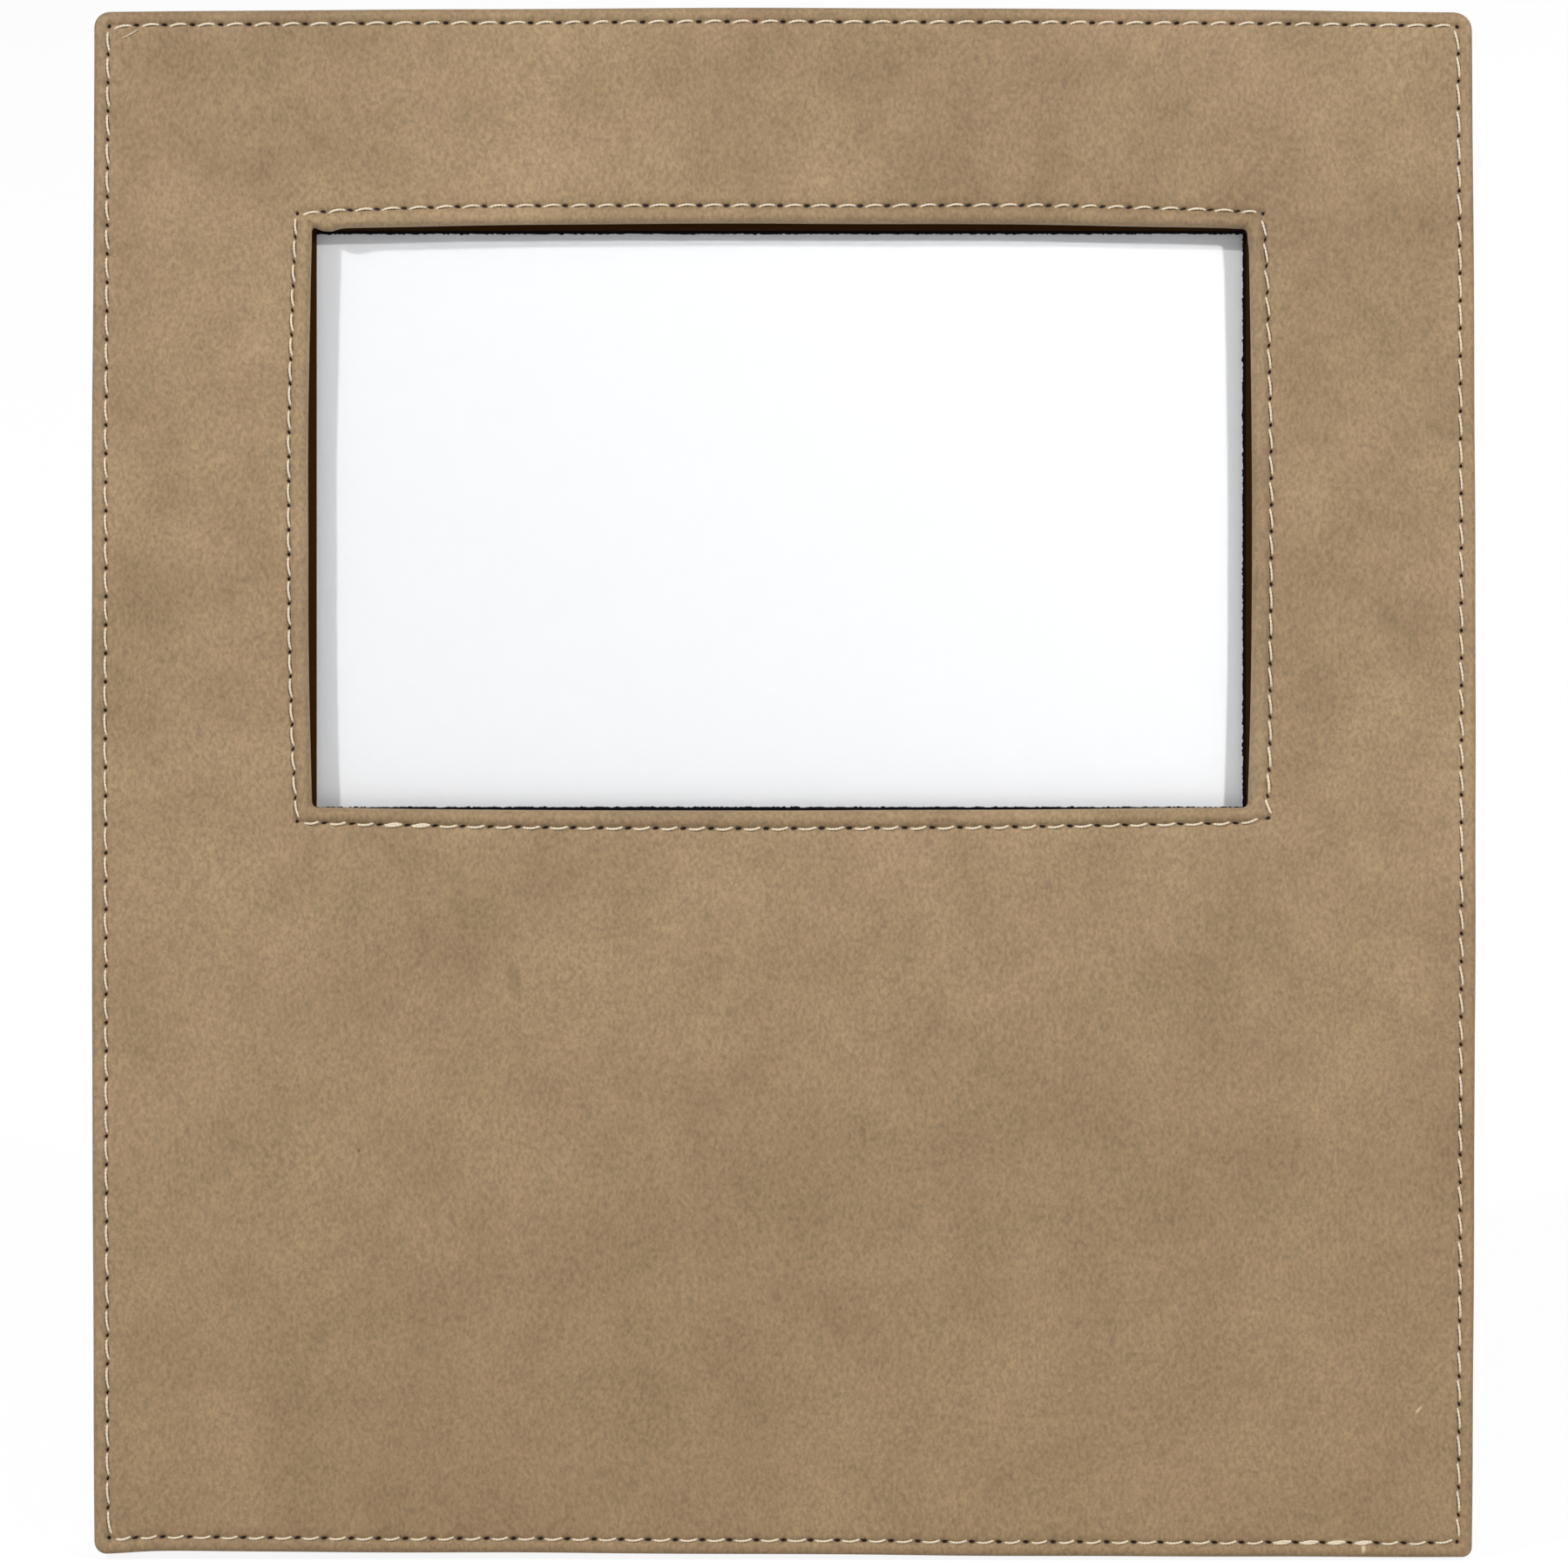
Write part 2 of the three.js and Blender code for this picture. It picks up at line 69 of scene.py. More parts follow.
Piece = bpy.types.Object
Material = bpy.types.Material
FourFloats = tuple[float, float, float, float]
FourInts = tuple[int, int, int, int]
Faces = list[tuple[int, ...]]
Tree = bpy.types.NodeTree
Socket = bpy.types.NodeSocket


class Side(Enum):
    """A side of a rectangle, in the order in which a loop runs round it."""

    RIGHT = 0
    TOP = 1
    LEFT = 2
    BOTTOM = 3


def hole_reach(side: Side) -> float:
    """How far a needle hole on a side reaches along its row, each way."""
    return HOLE_LONG if side in (Side.TOP, Side.BOTTOM) else HOLE_SHORT


def linear_colour(code: str) -> FourFloats:
    """Turn an sRGB hex value to a linear colour.

    Args:
        code: Six hex digits.

    Returns:
        Red, green, blue and alpha.
    """
    values = [int(code[start:start + 2], 16) / 255 for start in (0, 2, 4)]
    linear = [v / 12.92 if v <= 0.04045 else ((v + 0.055) / 1.055) ** 2.4 for v in values]
    return (linear[0], linear[1], linear[2], 1.0)


def add_node(
    tree: Tree, kind: str, inputs: dict[str | int, Any] | None = None, **settings: Any,
) -> bpy.types.Node:
    """Add a node with its settings, socket values and incoming links.

    Args:
        tree: The node tree that gets the node.
        kind: The node's type name, without its prefix.
        inputs: What each input takes, by name or number: a value, or a socket that feeds it.
        **settings: Attributes of the node.

    Returns:
        The new node.
    """
    node = tree.nodes.new("ShaderNode" + kind)
    for name, value in settings.items():
        setattr(node, name, value)
    for name, value in (inputs or {}).items():
        if isinstance(value, Socket):
            tree.links.new(value, node.inputs[name])
        else:
            node.inputs[name].default_value = value
    return node


def new_material(name: str) -> tuple[Material, Tree]:
    """Make an empty node material.

    Args:
        name: The material's name.

    Returns:
        The material and its cleared node tree.
    """
    material = bpy.data.materials.new(name)
    material.use_nodes = True
    material.node_tree.nodes.clear()
    return material, material.node_tree


@dataclass(frozen=True)
class PanelPlane:
    """The leaning plane in which the panel's pieces are drawn."""

    lean_deg: float = 11.0
    height: float = 241.3
    back_inset: float = 0.4

    @property
    def lean(self) -> float:
        """The lean in radians."""
        return math.radians(self.lean_deg)

    @property
    def origin(self) -> np.ndarray:
        """The panel's origin in metres, from the box of the back lining."""
        _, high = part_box("back_lining")
        top = (self.height - self.back_inset) * MM
        across = high[1] - top * math.sin(self.lean)
        up = -self.back_inset * MM * math.cos(self.lean)
        return np.array([0.0, across, up])

    def place(self, points: np.ndarray) -> np.ndarray:
        """Turn panel millimetres to the model's metres.

        Args:
            points: Rows of x, y, z.

        Returns:
            Rows of x, y, z in metres.
        """
        scaled = np.asarray(points, dtype=float) * MM
        cosine, sine = math.cos(self.lean), math.sin(self.lean)
        turned = np.column_stack([
            scaled[:, 0],
            scaled[:, 1] * cosine + scaled[:, 2] * sine,
            -scaled[:, 1] * sine + scaled[:, 2] * cosine,
        ])
        return turned + self.origin

    def normal(self) -> Vector:
        """The way that the picture side faces."""
        return Vector((0.0, -math.cos(self.lean), math.sin(self.lean)))


PLANE = PanelPlane()


@dataclass(frozen=True)
class Loop:
    """A rectangle with round corners and swelling sides, in panel millimetres."""

    width: float
    height: float
    centre_x: float
    centre_z: float
    radii: FourFloats
    bows: FourFloats
    powers: FourFloats = (2.0, 2.0, 2.0, 2.0)

    def half(self, side: Side) -> float:
        """Half the length of a side, corner to sharp corner."""
        return (self.height if side in (Side.RIGHT, Side.LEFT) else self.width) / 2

    def on_side(self, side: Side, shares: np.ndarray) -> np.ndarray:
        """Points on the straight part of a side.

        Args:
            side: The side.
            shares: Places from -1 to 1 along its straight part.

        Returns:
            Rows of x, z.
        """
        start = self.radii[side.value - 1] - self.half(side)
        end = self.half(side) - self.radii[side.value]
        along = start + (end - start) * (shares + 1) / 2
        swell = self.bows[side.value] * (1 - np.abs(shares) ** self.powers[side.value])
        out_x = self.width / 2 + swell
        out_z = self.height / 2 + swell
        rows = {
            Side.RIGHT: (out_x, along),
            Side.TOP: (-along, out_z),
            Side.LEFT: (-out_x, -along),
            Side.BOTTOM: (along, -out_z),
        }
        x, z = np.broadcast_arrays(*rows[side])
        return np.column_stack([x + self.centre_x, z + self.centre_z])

    def on_corner(self, side: Side, turns: np.ndarray) -> np.ndarray:
        """Points on the corner after a side.

        Args:
            side: The side that ends at the corner.
            turns: Places from 0 to 1 round its arc.

        Returns:
            Rows of x, z.
        """
        sign_x = 1 if side in (Side.RIGHT, Side.BOTTOM) else -1
        sign_z = 1 if side in (Side.RIGHT, Side.TOP) else -1
        angle = (turns + side.value) * math.pi / 2
        radius = self.radii[side.value]
        x = sign_x * (self.width / 2 - radius) + radius * np.cos(angle)
        z = sign_z * (self.height / 2 - radius) + radius * np.sin(angle)
        return np.column_stack([x + self.centre_x, z + self.centre_z])


@dataclass(frozen=True)
class Station:
    """A place on a row of stitches, shared by every loop of the same band."""

    side: Side
    place: float
    at_corner: bool
    hole_gap: float
    phase: float

    def hole_length(self) -> float:
        """How far the needle hole reaches along the row, each way."""
        return HOLE_SHORT if self.at_corner else hole_reach(self.side)


@dataclass(frozen=True)
class Row:
    """A row of stitches on a loop."""

    loop: Loop
    stitches: FourInts
    hole_offsets: tuple[float, ...] = (-1.7, -1.05, -0.5, 0.0, 0.5, 1.05, 1.7)
    middle_shares: tuple[float, ...] = (0.34, 0.66)
    corner_turns: tuple[float, ...] = (0.0, 0.17, 0.34, 0.5, 0.66, 0.83, 1.0)

    def hole_spacing(self, side: Side) -> float:
        """The distance between needle holes on a side."""
        return 2 * self.loop.half(side) / self.stitches[side.value]

    def stations(self) -> list[Station]:
        """Places round the row: seven at each needle hole, two between, seven at a corner."""
        found = []
        for side in Side:
            count = self.stitches[side.value]
            half = self.loop.half(side)
            spacing = self.hole_spacing(side)
            reach = hole_reach(side)
            straight = half - self.loop.radii[side.value]
            for index in range(count + 1):
                hole = -half + index * spacing
                places = [(hole + reach * o, reach * o) for o in self.hole_offsets]
                places += [(hole + share * spacing, CLEAR_OF_HOLE) for share in self.middle_shares]
                for along, gap in places:
                    if abs(along) < straight - 1e-6:
                        phase = ((along + half) / spacing) % 1.0
                        found.append(Station(side, along / straight, False, gap, phase))
            for turn in self.corner_turns:
                gap = (turn - 0.5) * math.pi / 2 * self.loop.radii[side.value]
                found.append(Station(side, turn, True, gap, (gap / spacing) % 1.0))
        return found

    def holes(self) -> list[tuple[np.ndarray, Side]]:
        """The needle holes round the row, with the side that each stitch after it runs along."""
        found = []
        for side in Side:
            count = self.stitches[side.value]
            straight = self.loop.half(side) - self.loop.radii[side.value]
            for index in range(count):
                along = -self.loop.half(side) + index * self.hole_spacing(side)
                share = np.array([max(-1.0, min(1.0, along / straight))])
                found.append((self.loop.on_side(side, share)[0], side))
        return found


def round_loop(loop: Loop, stations: Sequence[Station]) -> np.ndarray:
    """Give the points of a loop at a row's stations.

    Args:
        loop: The loop.
        stations: The stations of the band that the loop belongs to.

    Returns:
        Rows of x, z.
    """
    parts = []
    for side in Side:
        straight = [s.place for s in stations if s.side is side and not s.at_corner]
        turning = [s.place for s in stations if s.side is side and s.at_corner]
        parts.append(loop.on_side(side, np.array(straight)))
        parts.append(loop.on_corner(side, np.array(turning)))
    return np.vstack(parts)


def build_mesh(
    name: str,
    points: np.ndarray,
    faces: Sequence[Sequence[int]],
    attribute: tuple[str, np.ndarray] | None = None,
    weld: float = 1e-7,
) -> Piece:
    """Make a smooth mesh object, with its shared vertices welded.

    Args:
        name: The piece's name.
        points: Rows of x, y, z in metres.
        faces: Vertex numbers of each face.
        attribute: A name and one value for each vertex, for the material.
        weld: The distance in metres under which vertices are joined.

    Returns:
        The new object.
    """
    mesh = bpy.data.meshes.new(name)
    mesh.from_pydata([tuple(p) for p in points], [], [tuple(f) for f in faces])
    if attribute is not None:
        layer = mesh.attributes.new(attribute[0], "FLOAT", "POINT")
        layer.data.foreach_set("value", np.asarray(attribute[1], dtype=np.float32))
    work = bmesh.new()
    work.from_mesh(mesh)
    bmesh.ops.remove_doubles(work, verts=work.verts, dist=weld)
    bmesh.ops.dissolve_degenerate(work, edges=work.edges, dist=weld)
    work.to_mesh(mesh)
    work.free()
    mesh.polygons.foreach_set("use_smooth", [True] * len(mesh.polygons))
    mesh.update()
    piece = bpy.data.objects.new(name, mesh)
    bpy.context.scene.collection.objects.link(piece)
    return piece


@dataclass(frozen=True)
class Tube:
    """A closed tube along a path."""

    path: np.ndarray
    radii: np.ndarray
    sides: int = 6

    def mesh(self, first: int) -> tuple[np.ndarray, Faces]:
        """Give the tube's vertices and faces.

        Args:
            first: The number of its first vertex in the mesh that it joins.

        Returns:
            Rows of x, y, z, and the faces.
        """
        tangent = np.gradient(self.path, axis=0)
        tangent /= np.linalg.norm(tangent, axis=1)[:, None]
        sideways = np.cross(tangent, OUTWARD)
        sideways /= np.linalg.norm(sideways, axis=1)[:, None]
        lift = np.cross(sideways, tangent)
        angles = np.linspace(0, 2 * math.pi, self.sides, endpoint=False)
        ring = (
            self.path[:, None, :]
            + self.radii[:, None, None] * (
                np.cos(angles)[None, :, None] * sideways[:, None, :]
                + np.sin(angles)[None, :, None] * lift[:, None, :]
            )
        )
        count = len(self.path)
        faces: Faces = []
        for i in range(count - 1):
            for j in range(self.sides):
                k = (j + 1) % self.sides
                a, b = first + i * self.sides, first + (i + 1) * self.sides
                faces.append((a + j, b + j, b + k, a + k))
        faces.append(tuple(first + j for j in range(self.sides)))
        last = first + (count - 1) * self.sides
        faces.append(tuple(last + self.sides - 1 - j for j in range(self.sides)))
        return ring.reshape(-1, 3), faces


@dataclass(frozen=True)
class Mark:
    """A small worn spot on the face, in panel millimetres."""

    x: float
    z: float
    across: float
    along: float
    tilt_deg: float
    colour: str
    strength: float

    def blend(self, tree: Tree, where: Socket, under: Socket) -> Socket:
        """Lay the mark over a colour.

        Args:
            tree: The material's node tree.
            where: Object coordinates.
            under: The colour beneath.

        Returns:
            The colour with the mark on it.
        """
        centre = PLANE.place(np.array([[self.x, FACE_Y, self.z]]))[0]
        offset = add_node(tree, "VectorMath", {1: tuple(centre), 0: where}, operation="SUBTRACT")
        turned = add_node(
            tree, "Mapping",
            {"Rotation": (PLANE.lean, math.radians(self.tilt_deg), 0.0),
             "Vector": offset.outputs[0]},
        )
        scaled = add_node(
            tree, "VectorMath",
            {1: (1 / (self.across * MM), 0.0, 1 / (self.along * MM)), 0: turned.outputs[0]},
            operation="MULTIPLY",
        )
        far = add_node(tree, "VectorMath", {0: scaled.outputs[0]}, operation="LENGTH")
        near = add_node(
            tree, "MapRange",
            {"From Min": 1.0, "From Max": 0.3, "To Max": self.strength,
             "Value": far.outputs["Value"]},
            interpolation_type="SMOOTHSTEP",
        )
        laid = add_node(
            tree, "Mix",
            {7: linear_colour(self.colour), 0: near.outputs[0], 6: under},
            data_type="RGBA",
        )
        return laid.outputs[2]


@dataclass(frozen=True)
class LeatheretteFinish:
    """Polyurethane leatherette on a cloth backing, embossed with a fine hide grain and brushed matt.

    The embossing gives a pebble under a millimetre across. The brushing gives the soft cloudy
    tone of nubuck, and it wears lighter where the cover is drawn tight.
    """

    name: str = "tan_leatherette"
    light: str = "9b8261"
    dark: str = "866e4f"
    # painted shade: the colour the cover darkens to towards the bottom, as if lit from above
    low: str = "866d4c"
    # painted shade: the dark colour laid in the needle holes
    hole: str = "241303"
    marks: tuple[Mark, ...] = (
        Mark(-42.0, 89.8, 1.6, 4.2, 12.0, "6d5a3c", 0.45),
        Mark(-66.3, 63.0, 0.35, 0.5, 0.0, "5a472c", 0.8),
        Mark(99.3, 22.5, 0.26, 1.0, -38.0, "cbb892", 0.75),
        Mark(90.7, 0.9, 0.5, 1.2, 0.0, "cdbd98", 0.8),
        Mark(87.8, 1.9, 3.0, 0.6, 0.0, "b5a27d", 0.6),
        Mark(71.0, 206.0, 1.0, 0.6, 0.0, "6d5a3c", 0.35),
    )
    warm: FourFloats = (1.012, 0.998, 1.005, 1.0)
    cool: FourFloats = (0.99, 1.003, 0.975, 1.0)
    pebble_mm: float = 0.58
    swirl_mm: float = 26.0
    swirl_pull: float = 0.004
    hue_mm: float = 16.0
    crease_mm: float = 6.0
    cloud_mm: float = 11.0
    drift_mm: float = 45.0
    roughness: float = 0.68
    ior: float = 1.5

    def build(self) -> Material:
        """Make the material."""
        material, tree = new_material(self.name)
        where = add_node(tree, "TexCoord").outputs["Object"]
        cloud = add_node(
            tree, "TexNoise",
            {"Scale": 1 / (self.cloud_mm * MM), "Detail": 5.0, "Roughness": 0.62, "Vector": where},
        )
        drift = add_node(
            tree, "TexNoise", {"Scale": 1 / (self.drift_mm * MM), "Detail": 2.0, "Vector": where},
        )
        tone = add_node(
            tree, "Mix",
            {0: 0.45, 2: cloud.outputs["Fac"], 3: drift.outputs["Fac"]},
            data_type="FLOAT",
        )
        spread = add_node(
            tree, "MapRange", {"From Min": 0.36, "From Max": 0.64, "Value": tone.outputs[0]},
        )
        cloudy = add_node(
            tree, "Mix",
            {6: linear_colour(self.dark), 7: linear_colour(self.light), 0: spread.outputs[0]},
            data_type="RGBA",
        )
        # painted shade: the cover's colour darkens towards the bottom, up to half way to the low
        # colour
        height = add_node(tree, "SeparateXYZ", {0: where})
        bottom_shade_share = add_node(
            tree, "MapRange",
            {"From Min": 0.14, "From Max": 0.0, "To Max": 0.5, "Value": height.outputs["Z"]},
        )
        shaded = add_node(
            tree, "Mix",
            {7: linear_colour(self.low), 0: bottom_shade_share.outputs[0], 6: cloudy.outputs[2]},
            data_type="RGBA",
        )
        hue = add_node(
            tree, "TexNoise", {"Scale": 1 / (self.hue_mm * MM), "Detail": 3.0, "Vector": where},
        )
        hue_share = add_node(
            tree, "MapRange", {"From Min": 0.38, "From Max": 0.62, "Value": hue.outputs["Fac"]},
        )
        tint = add_node(
            tree, "Mix", {6: self.warm, 7: self.cool, 0: hue_share.outputs[0]}, data_type="RGBA",
        )
        tinted = add_node(
            tree, "VectorMath", {0: shaded.outputs[2], 1: tint.outputs[2]}, operation="MULTIPLY",
        )
        swirl = add_node(
            tree, "TexNoise", {"Scale": 1 / (self.swirl_mm * MM), "Detail": 1.0, "Vector": where},
        )
        bent = add_node(
            tree, "VectorMath",
            {1: (self.swirl_pull,) * 3, 0: swirl.outputs["Color"], 2: where},
            operation="MULTIPLY_ADD",
        )
        drawn_out = add_node(
            tree, "Mapping",
            {"Rotation": (0.0, 0.75, 0.0), "Scale": (1.0, 1.0, 0.68), "Vector": bent.outputs[0]},
        )
        pebble = add_node(
            tree, "TexNoise",
            {"Scale": 1 / (self.pebble_mm * MM), "Detail": 3.0, "Roughness": 0.62,
             "Vector": drawn_out.outputs[0]},
        )
        grain = add_node(
            tree, "MapRange",
            {"From Min": 0.32, "From Max": 0.68, "To Min": 0.77, "To Max": 1.23,
             "Value": pebble.outputs["Fac"]},
        )
        grained = add_node(
            tree, "VectorMath",
            {0: tinted.outputs[0], "Scale": grain.outputs[0]},
            operation="SCALE",
        )
        marked = grained.outputs[0]
        for mark in self.marks:
            marked = mark.blend(tree, where, marked)
        # painted shade: the needle pits are coloured dark in place of the shade inside each hole
        attribute = add_node(tree, "Attribute", attribute_name="needle")
        needle = add_node(
            tree, "MapRange",
            {"From Min": 0.22, "From Max": 0.5, "Value": attribute.outputs["Fac"]},
            interpolation_type="SMOOTHSTEP",
        )
        hole_shaded = add_node(
            tree, "Mix",
            {7: linear_colour(self.hole), 0: needle.outputs[0], 6: marked},
            data_type="RGBA",
        )
        crease = add_node(
            tree, "Mapping",
            {"Rotation": (0.0, 0.72, 0.0), "Scale": (1.0, 1.0, 4.5), "Vector": bent.outputs[0]},
        )
        creases = add_node(
            tree, "TexNoise",
            {"Scale": 1 / (self.crease_mm * MM), "Detail": 2.0, "Distortion": 0.4,
             "Vector": crease.outputs[0]},
        )
        creased = add_node(
            tree, "MapRange",
            {"From Min": 0.5, "From Max": 0.66, "To Max": 0.9, "Value": drift.outputs["Fac"]},
            interpolation_type="SMOOTHSTEP",
        )
        folds = add_node(
            tree, "Bump",
            {"Distance": 0.00022, "Height": creases.outputs["Fac"], "Strength": creased.outputs[0]},
        )
        bump = add_node(
            tree, "Bump",
            {"Strength": 0.7, "Distance": 0.00013, "Height": pebble.outputs["Fac"],
             "Normal": folds.outputs[0]},
        )
        shader = add_node(
            tree, "BsdfPrincipled",
            {"Roughness": self.roughness, "IOR": self.ior, "Sheen Weight": 0.06,
             "Sheen Roughness": 0.5, "Base Color": hole_shaded.outputs[2], "Normal": bump.outputs[0]},
        )
        add_node(tree, "OutputMaterial", {"Surface": shader.outputs[0]})
        return material


@dataclass(frozen=True)
class FibreFinish:
    """A finish whose fibres show in its colour and its relief."""

    name: str
    light: str
    dark: str
    fibre_mm: float
    roughness: float
    relief_mm: float
    gloss: float = 0.5
    sheen: float = 0.0
    detail: float = 4.0
    coarseness: float = 0.65
    strength: float = 0.5

    def build(self) -> Material:
        """Make the material."""
        material, tree = new_material(self.name)
        where = add_node(tree, "TexCoord").outputs["Object"]
        fibre = add_node(
            tree, "TexNoise",
            {"Scale": 1 / (self.fibre_mm * MM), "Detail": self.detail, "Roughness": self.coarseness,
             "Vector": where},
        )
        colour = add_node(
            tree, "Mix",
            {6: linear_colour(self.dark), 7: linear_colour(self.light), 0: fibre.outputs["Fac"]},
            data_type="RGBA",
        )
        bump = add_node(
            tree, "Bump",
            {"Strength": self.strength, "Distance": self.relief_mm * MM,
             "Height": fibre.outputs["Fac"]},
        )
        shader = add_node(
            tree, "BsdfPrincipled",
            {"Roughness": self.roughness, "Specular IOR Level": self.gloss,
             "Sheen Weight": self.sheen, "Base Color": colour.outputs[2],
             "Normal": bump.outputs[0]},
        )
        add_node(tree, "OutputMaterial", {"Surface": shader.outputs[0]})
        return material


@dataclass(frozen=True)
class ThreadFinish(FibreFinish):
    """Spun polyester sewing thread, two plies twisted: matt, with fine fibres along the twist."""

    name: str = "sewing_thread"
    light: str = "fbf2e0"
    dark: str = "bda77f"
    fibre_mm: float = 0.12
    roughness: float = 0.75
    relief_mm: float = 0.04
    sheen: float = 0.15
    detail: float = 2.0
    coarseness: float = 0.5
    strength: float = 0.4


@dataclass(frozen=True)
class CardFinish(FibreFinish):
    """Card or board, pressed from pulp: matt, with a faint fibre mottle."""

    fibre_mm: float = 0.6
    roughness: float = 0.85
    relief_mm: float = 0.02


@dataclass(frozen=True)
class VelourFinish:
    """Cut-pile velour glued to board: near black face on, with a grey bloom at a grazing angle.

    The pile is under half a millimetre, so it is drawn as a soft nap in patches that lean.
    """

    name: str = "black_velour"
    light: str = "2a282b"
    dark: str = "141315"
    nap_mm: float = 0.45
    patch_mm: float = 18.0
    roughness: float = 0.95

    def build(self) -> Material:
        """Make the material."""
        material, tree = new_material(self.name)
        where = add_node(tree, "TexCoord").outputs["Object"]
        nap = add_node(
            tree, "TexNoise",
            {"Scale": 1 / (self.nap_mm * MM), "Detail": 3.0, "Roughness": 0.7, "Vector": where},
        )
        patch = add_node(
            tree, "TexNoise", {"Scale": 1 / (self.patch_mm * MM), "Detail": 2.0, "Vector": where},
        )
        both = add_node(
            tree, "Mix",
            {0: 0.5, 2: nap.outputs["Fac"], 3: patch.outputs["Fac"]},
            data_type="FLOAT",
        )
        spread = add_node(
            tree, "MapRange", {"From Min": 0.35, "From Max": 0.65, "Value": both.outputs[0]},
        )
        colour = add_node(
            tree, "Mix",
            {6: linear_colour(self.dark), 7: linear_colour(self.light), 0: spread.outputs[0]},
            data_type="RGBA",
        )
        bump = add_node(
            tree, "Bump", {"Strength": 0.8, "Distance": 0.0002, "Height": nap.outputs["Fac"]},
        )
        shader = add_node(
            tree, "BsdfPrincipled",
            {"Roughness": self.roughness, "Sheen Weight": 0.6, "Sheen Roughness": 0.4,
             "Specular IOR Level": 0.2, "Base Color": colour.outputs[2], "Normal": bump.outputs[0]},
        )
        add_node(tree, "OutputMaterial", {"Surface": shader.outputs[0]})
        return material


@dataclass(frozen=True)
class NickelFinish:
    """Nickel-plated steel, stamped and barrel-polished: satin, with fine random scratches."""

    name: str = "nickel_plate"
    light: str = "c9c5bb"
    dark: str = "b3aea3"
    scratch_mm: float = 0.5
    roughness: tuple[float, float] = (0.22, 0.38)

    def build(self) -> Material:
        """Make the material."""
        material, tree = new_material(self.name)
        where = add_node(tree, "TexCoord").outputs["Object"]
        stretched = add_node(tree, "Mapping", {"Scale": (1.0, 0.25, 0.25), "Vector": where})
        scratch = add_node(
            tree, "TexNoise",
            {"Scale": 1 / (self.scratch_mm * MM), "Detail": 4.0, "Vector": stretched.outputs[0]},
        )
        colour = add_node(
            tree, "Mix",
            {6: linear_colour(self.dark), 7: linear_colour(self.light), 0: scratch.outputs["Fac"]},
            data_type="RGBA",
        )
        rough = add_node(
            tree, "MapRange",
            {"To Min": self.roughness[0], "To Max": self.roughness[1],
             "Value": scratch.outputs["Fac"]},
        )
        shader = add_node(
            tree, "BsdfPrincipled",
            {"Metallic": 1.0, "Base Color": colour.outputs[2], "Roughness": rough.outputs[0]},
        )
        add_node(tree, "OutputMaterial", {"Surface": shader.outputs[0]})
        return material


@dataclass(frozen=True)
class ClearSheetFinish:
    """Cast acrylic sheet under a millimetre thick: clear face on, glossier at a grazing angle."""

    name: str = "clear_acrylic"
    tint: str = "f5f9fa"
    face_on: float = 0.02
    grazing: float = 0.35
    roughness: float = 0.04
    ior: float = 1.49

    def build(self) -> Material:
        """Make the material."""
        material, tree = new_material(self.name)
        edge = add_node(tree, "LayerWeight", {"Blend": 0.25})
        cover = add_node(
            tree, "MapRange",
            {"To Min": self.face_on, "To Max": self.grazing, "Value": edge.outputs["Fresnel"]},
        )
        shader = add_node(
            tree, "BsdfPrincipled",
            {"Base Color": linear_colour(self.tint), "Roughness": self.roughness, "IOR": self.ior,
             "Alpha": cover.outputs[0]},
        )
        add_node(tree, "OutputMaterial", {"Surface": shader.outputs[0]})
        return material


@dataclass(frozen=True)
class Pull:
    """A place where the cover was drawn off its line, in panel millimetres."""

    x: float
    z: float
    reach_x: float
    reach_z: float
    shift_x: float
    shift_z: float

    def share(self, x: float, z: float) -> float:
        """How much of the pull a point takes."""
        return math.exp(-((x - self.x) / self.reach_x) ** 2 - ((z - self.z) / self.reach_z) ** 2)


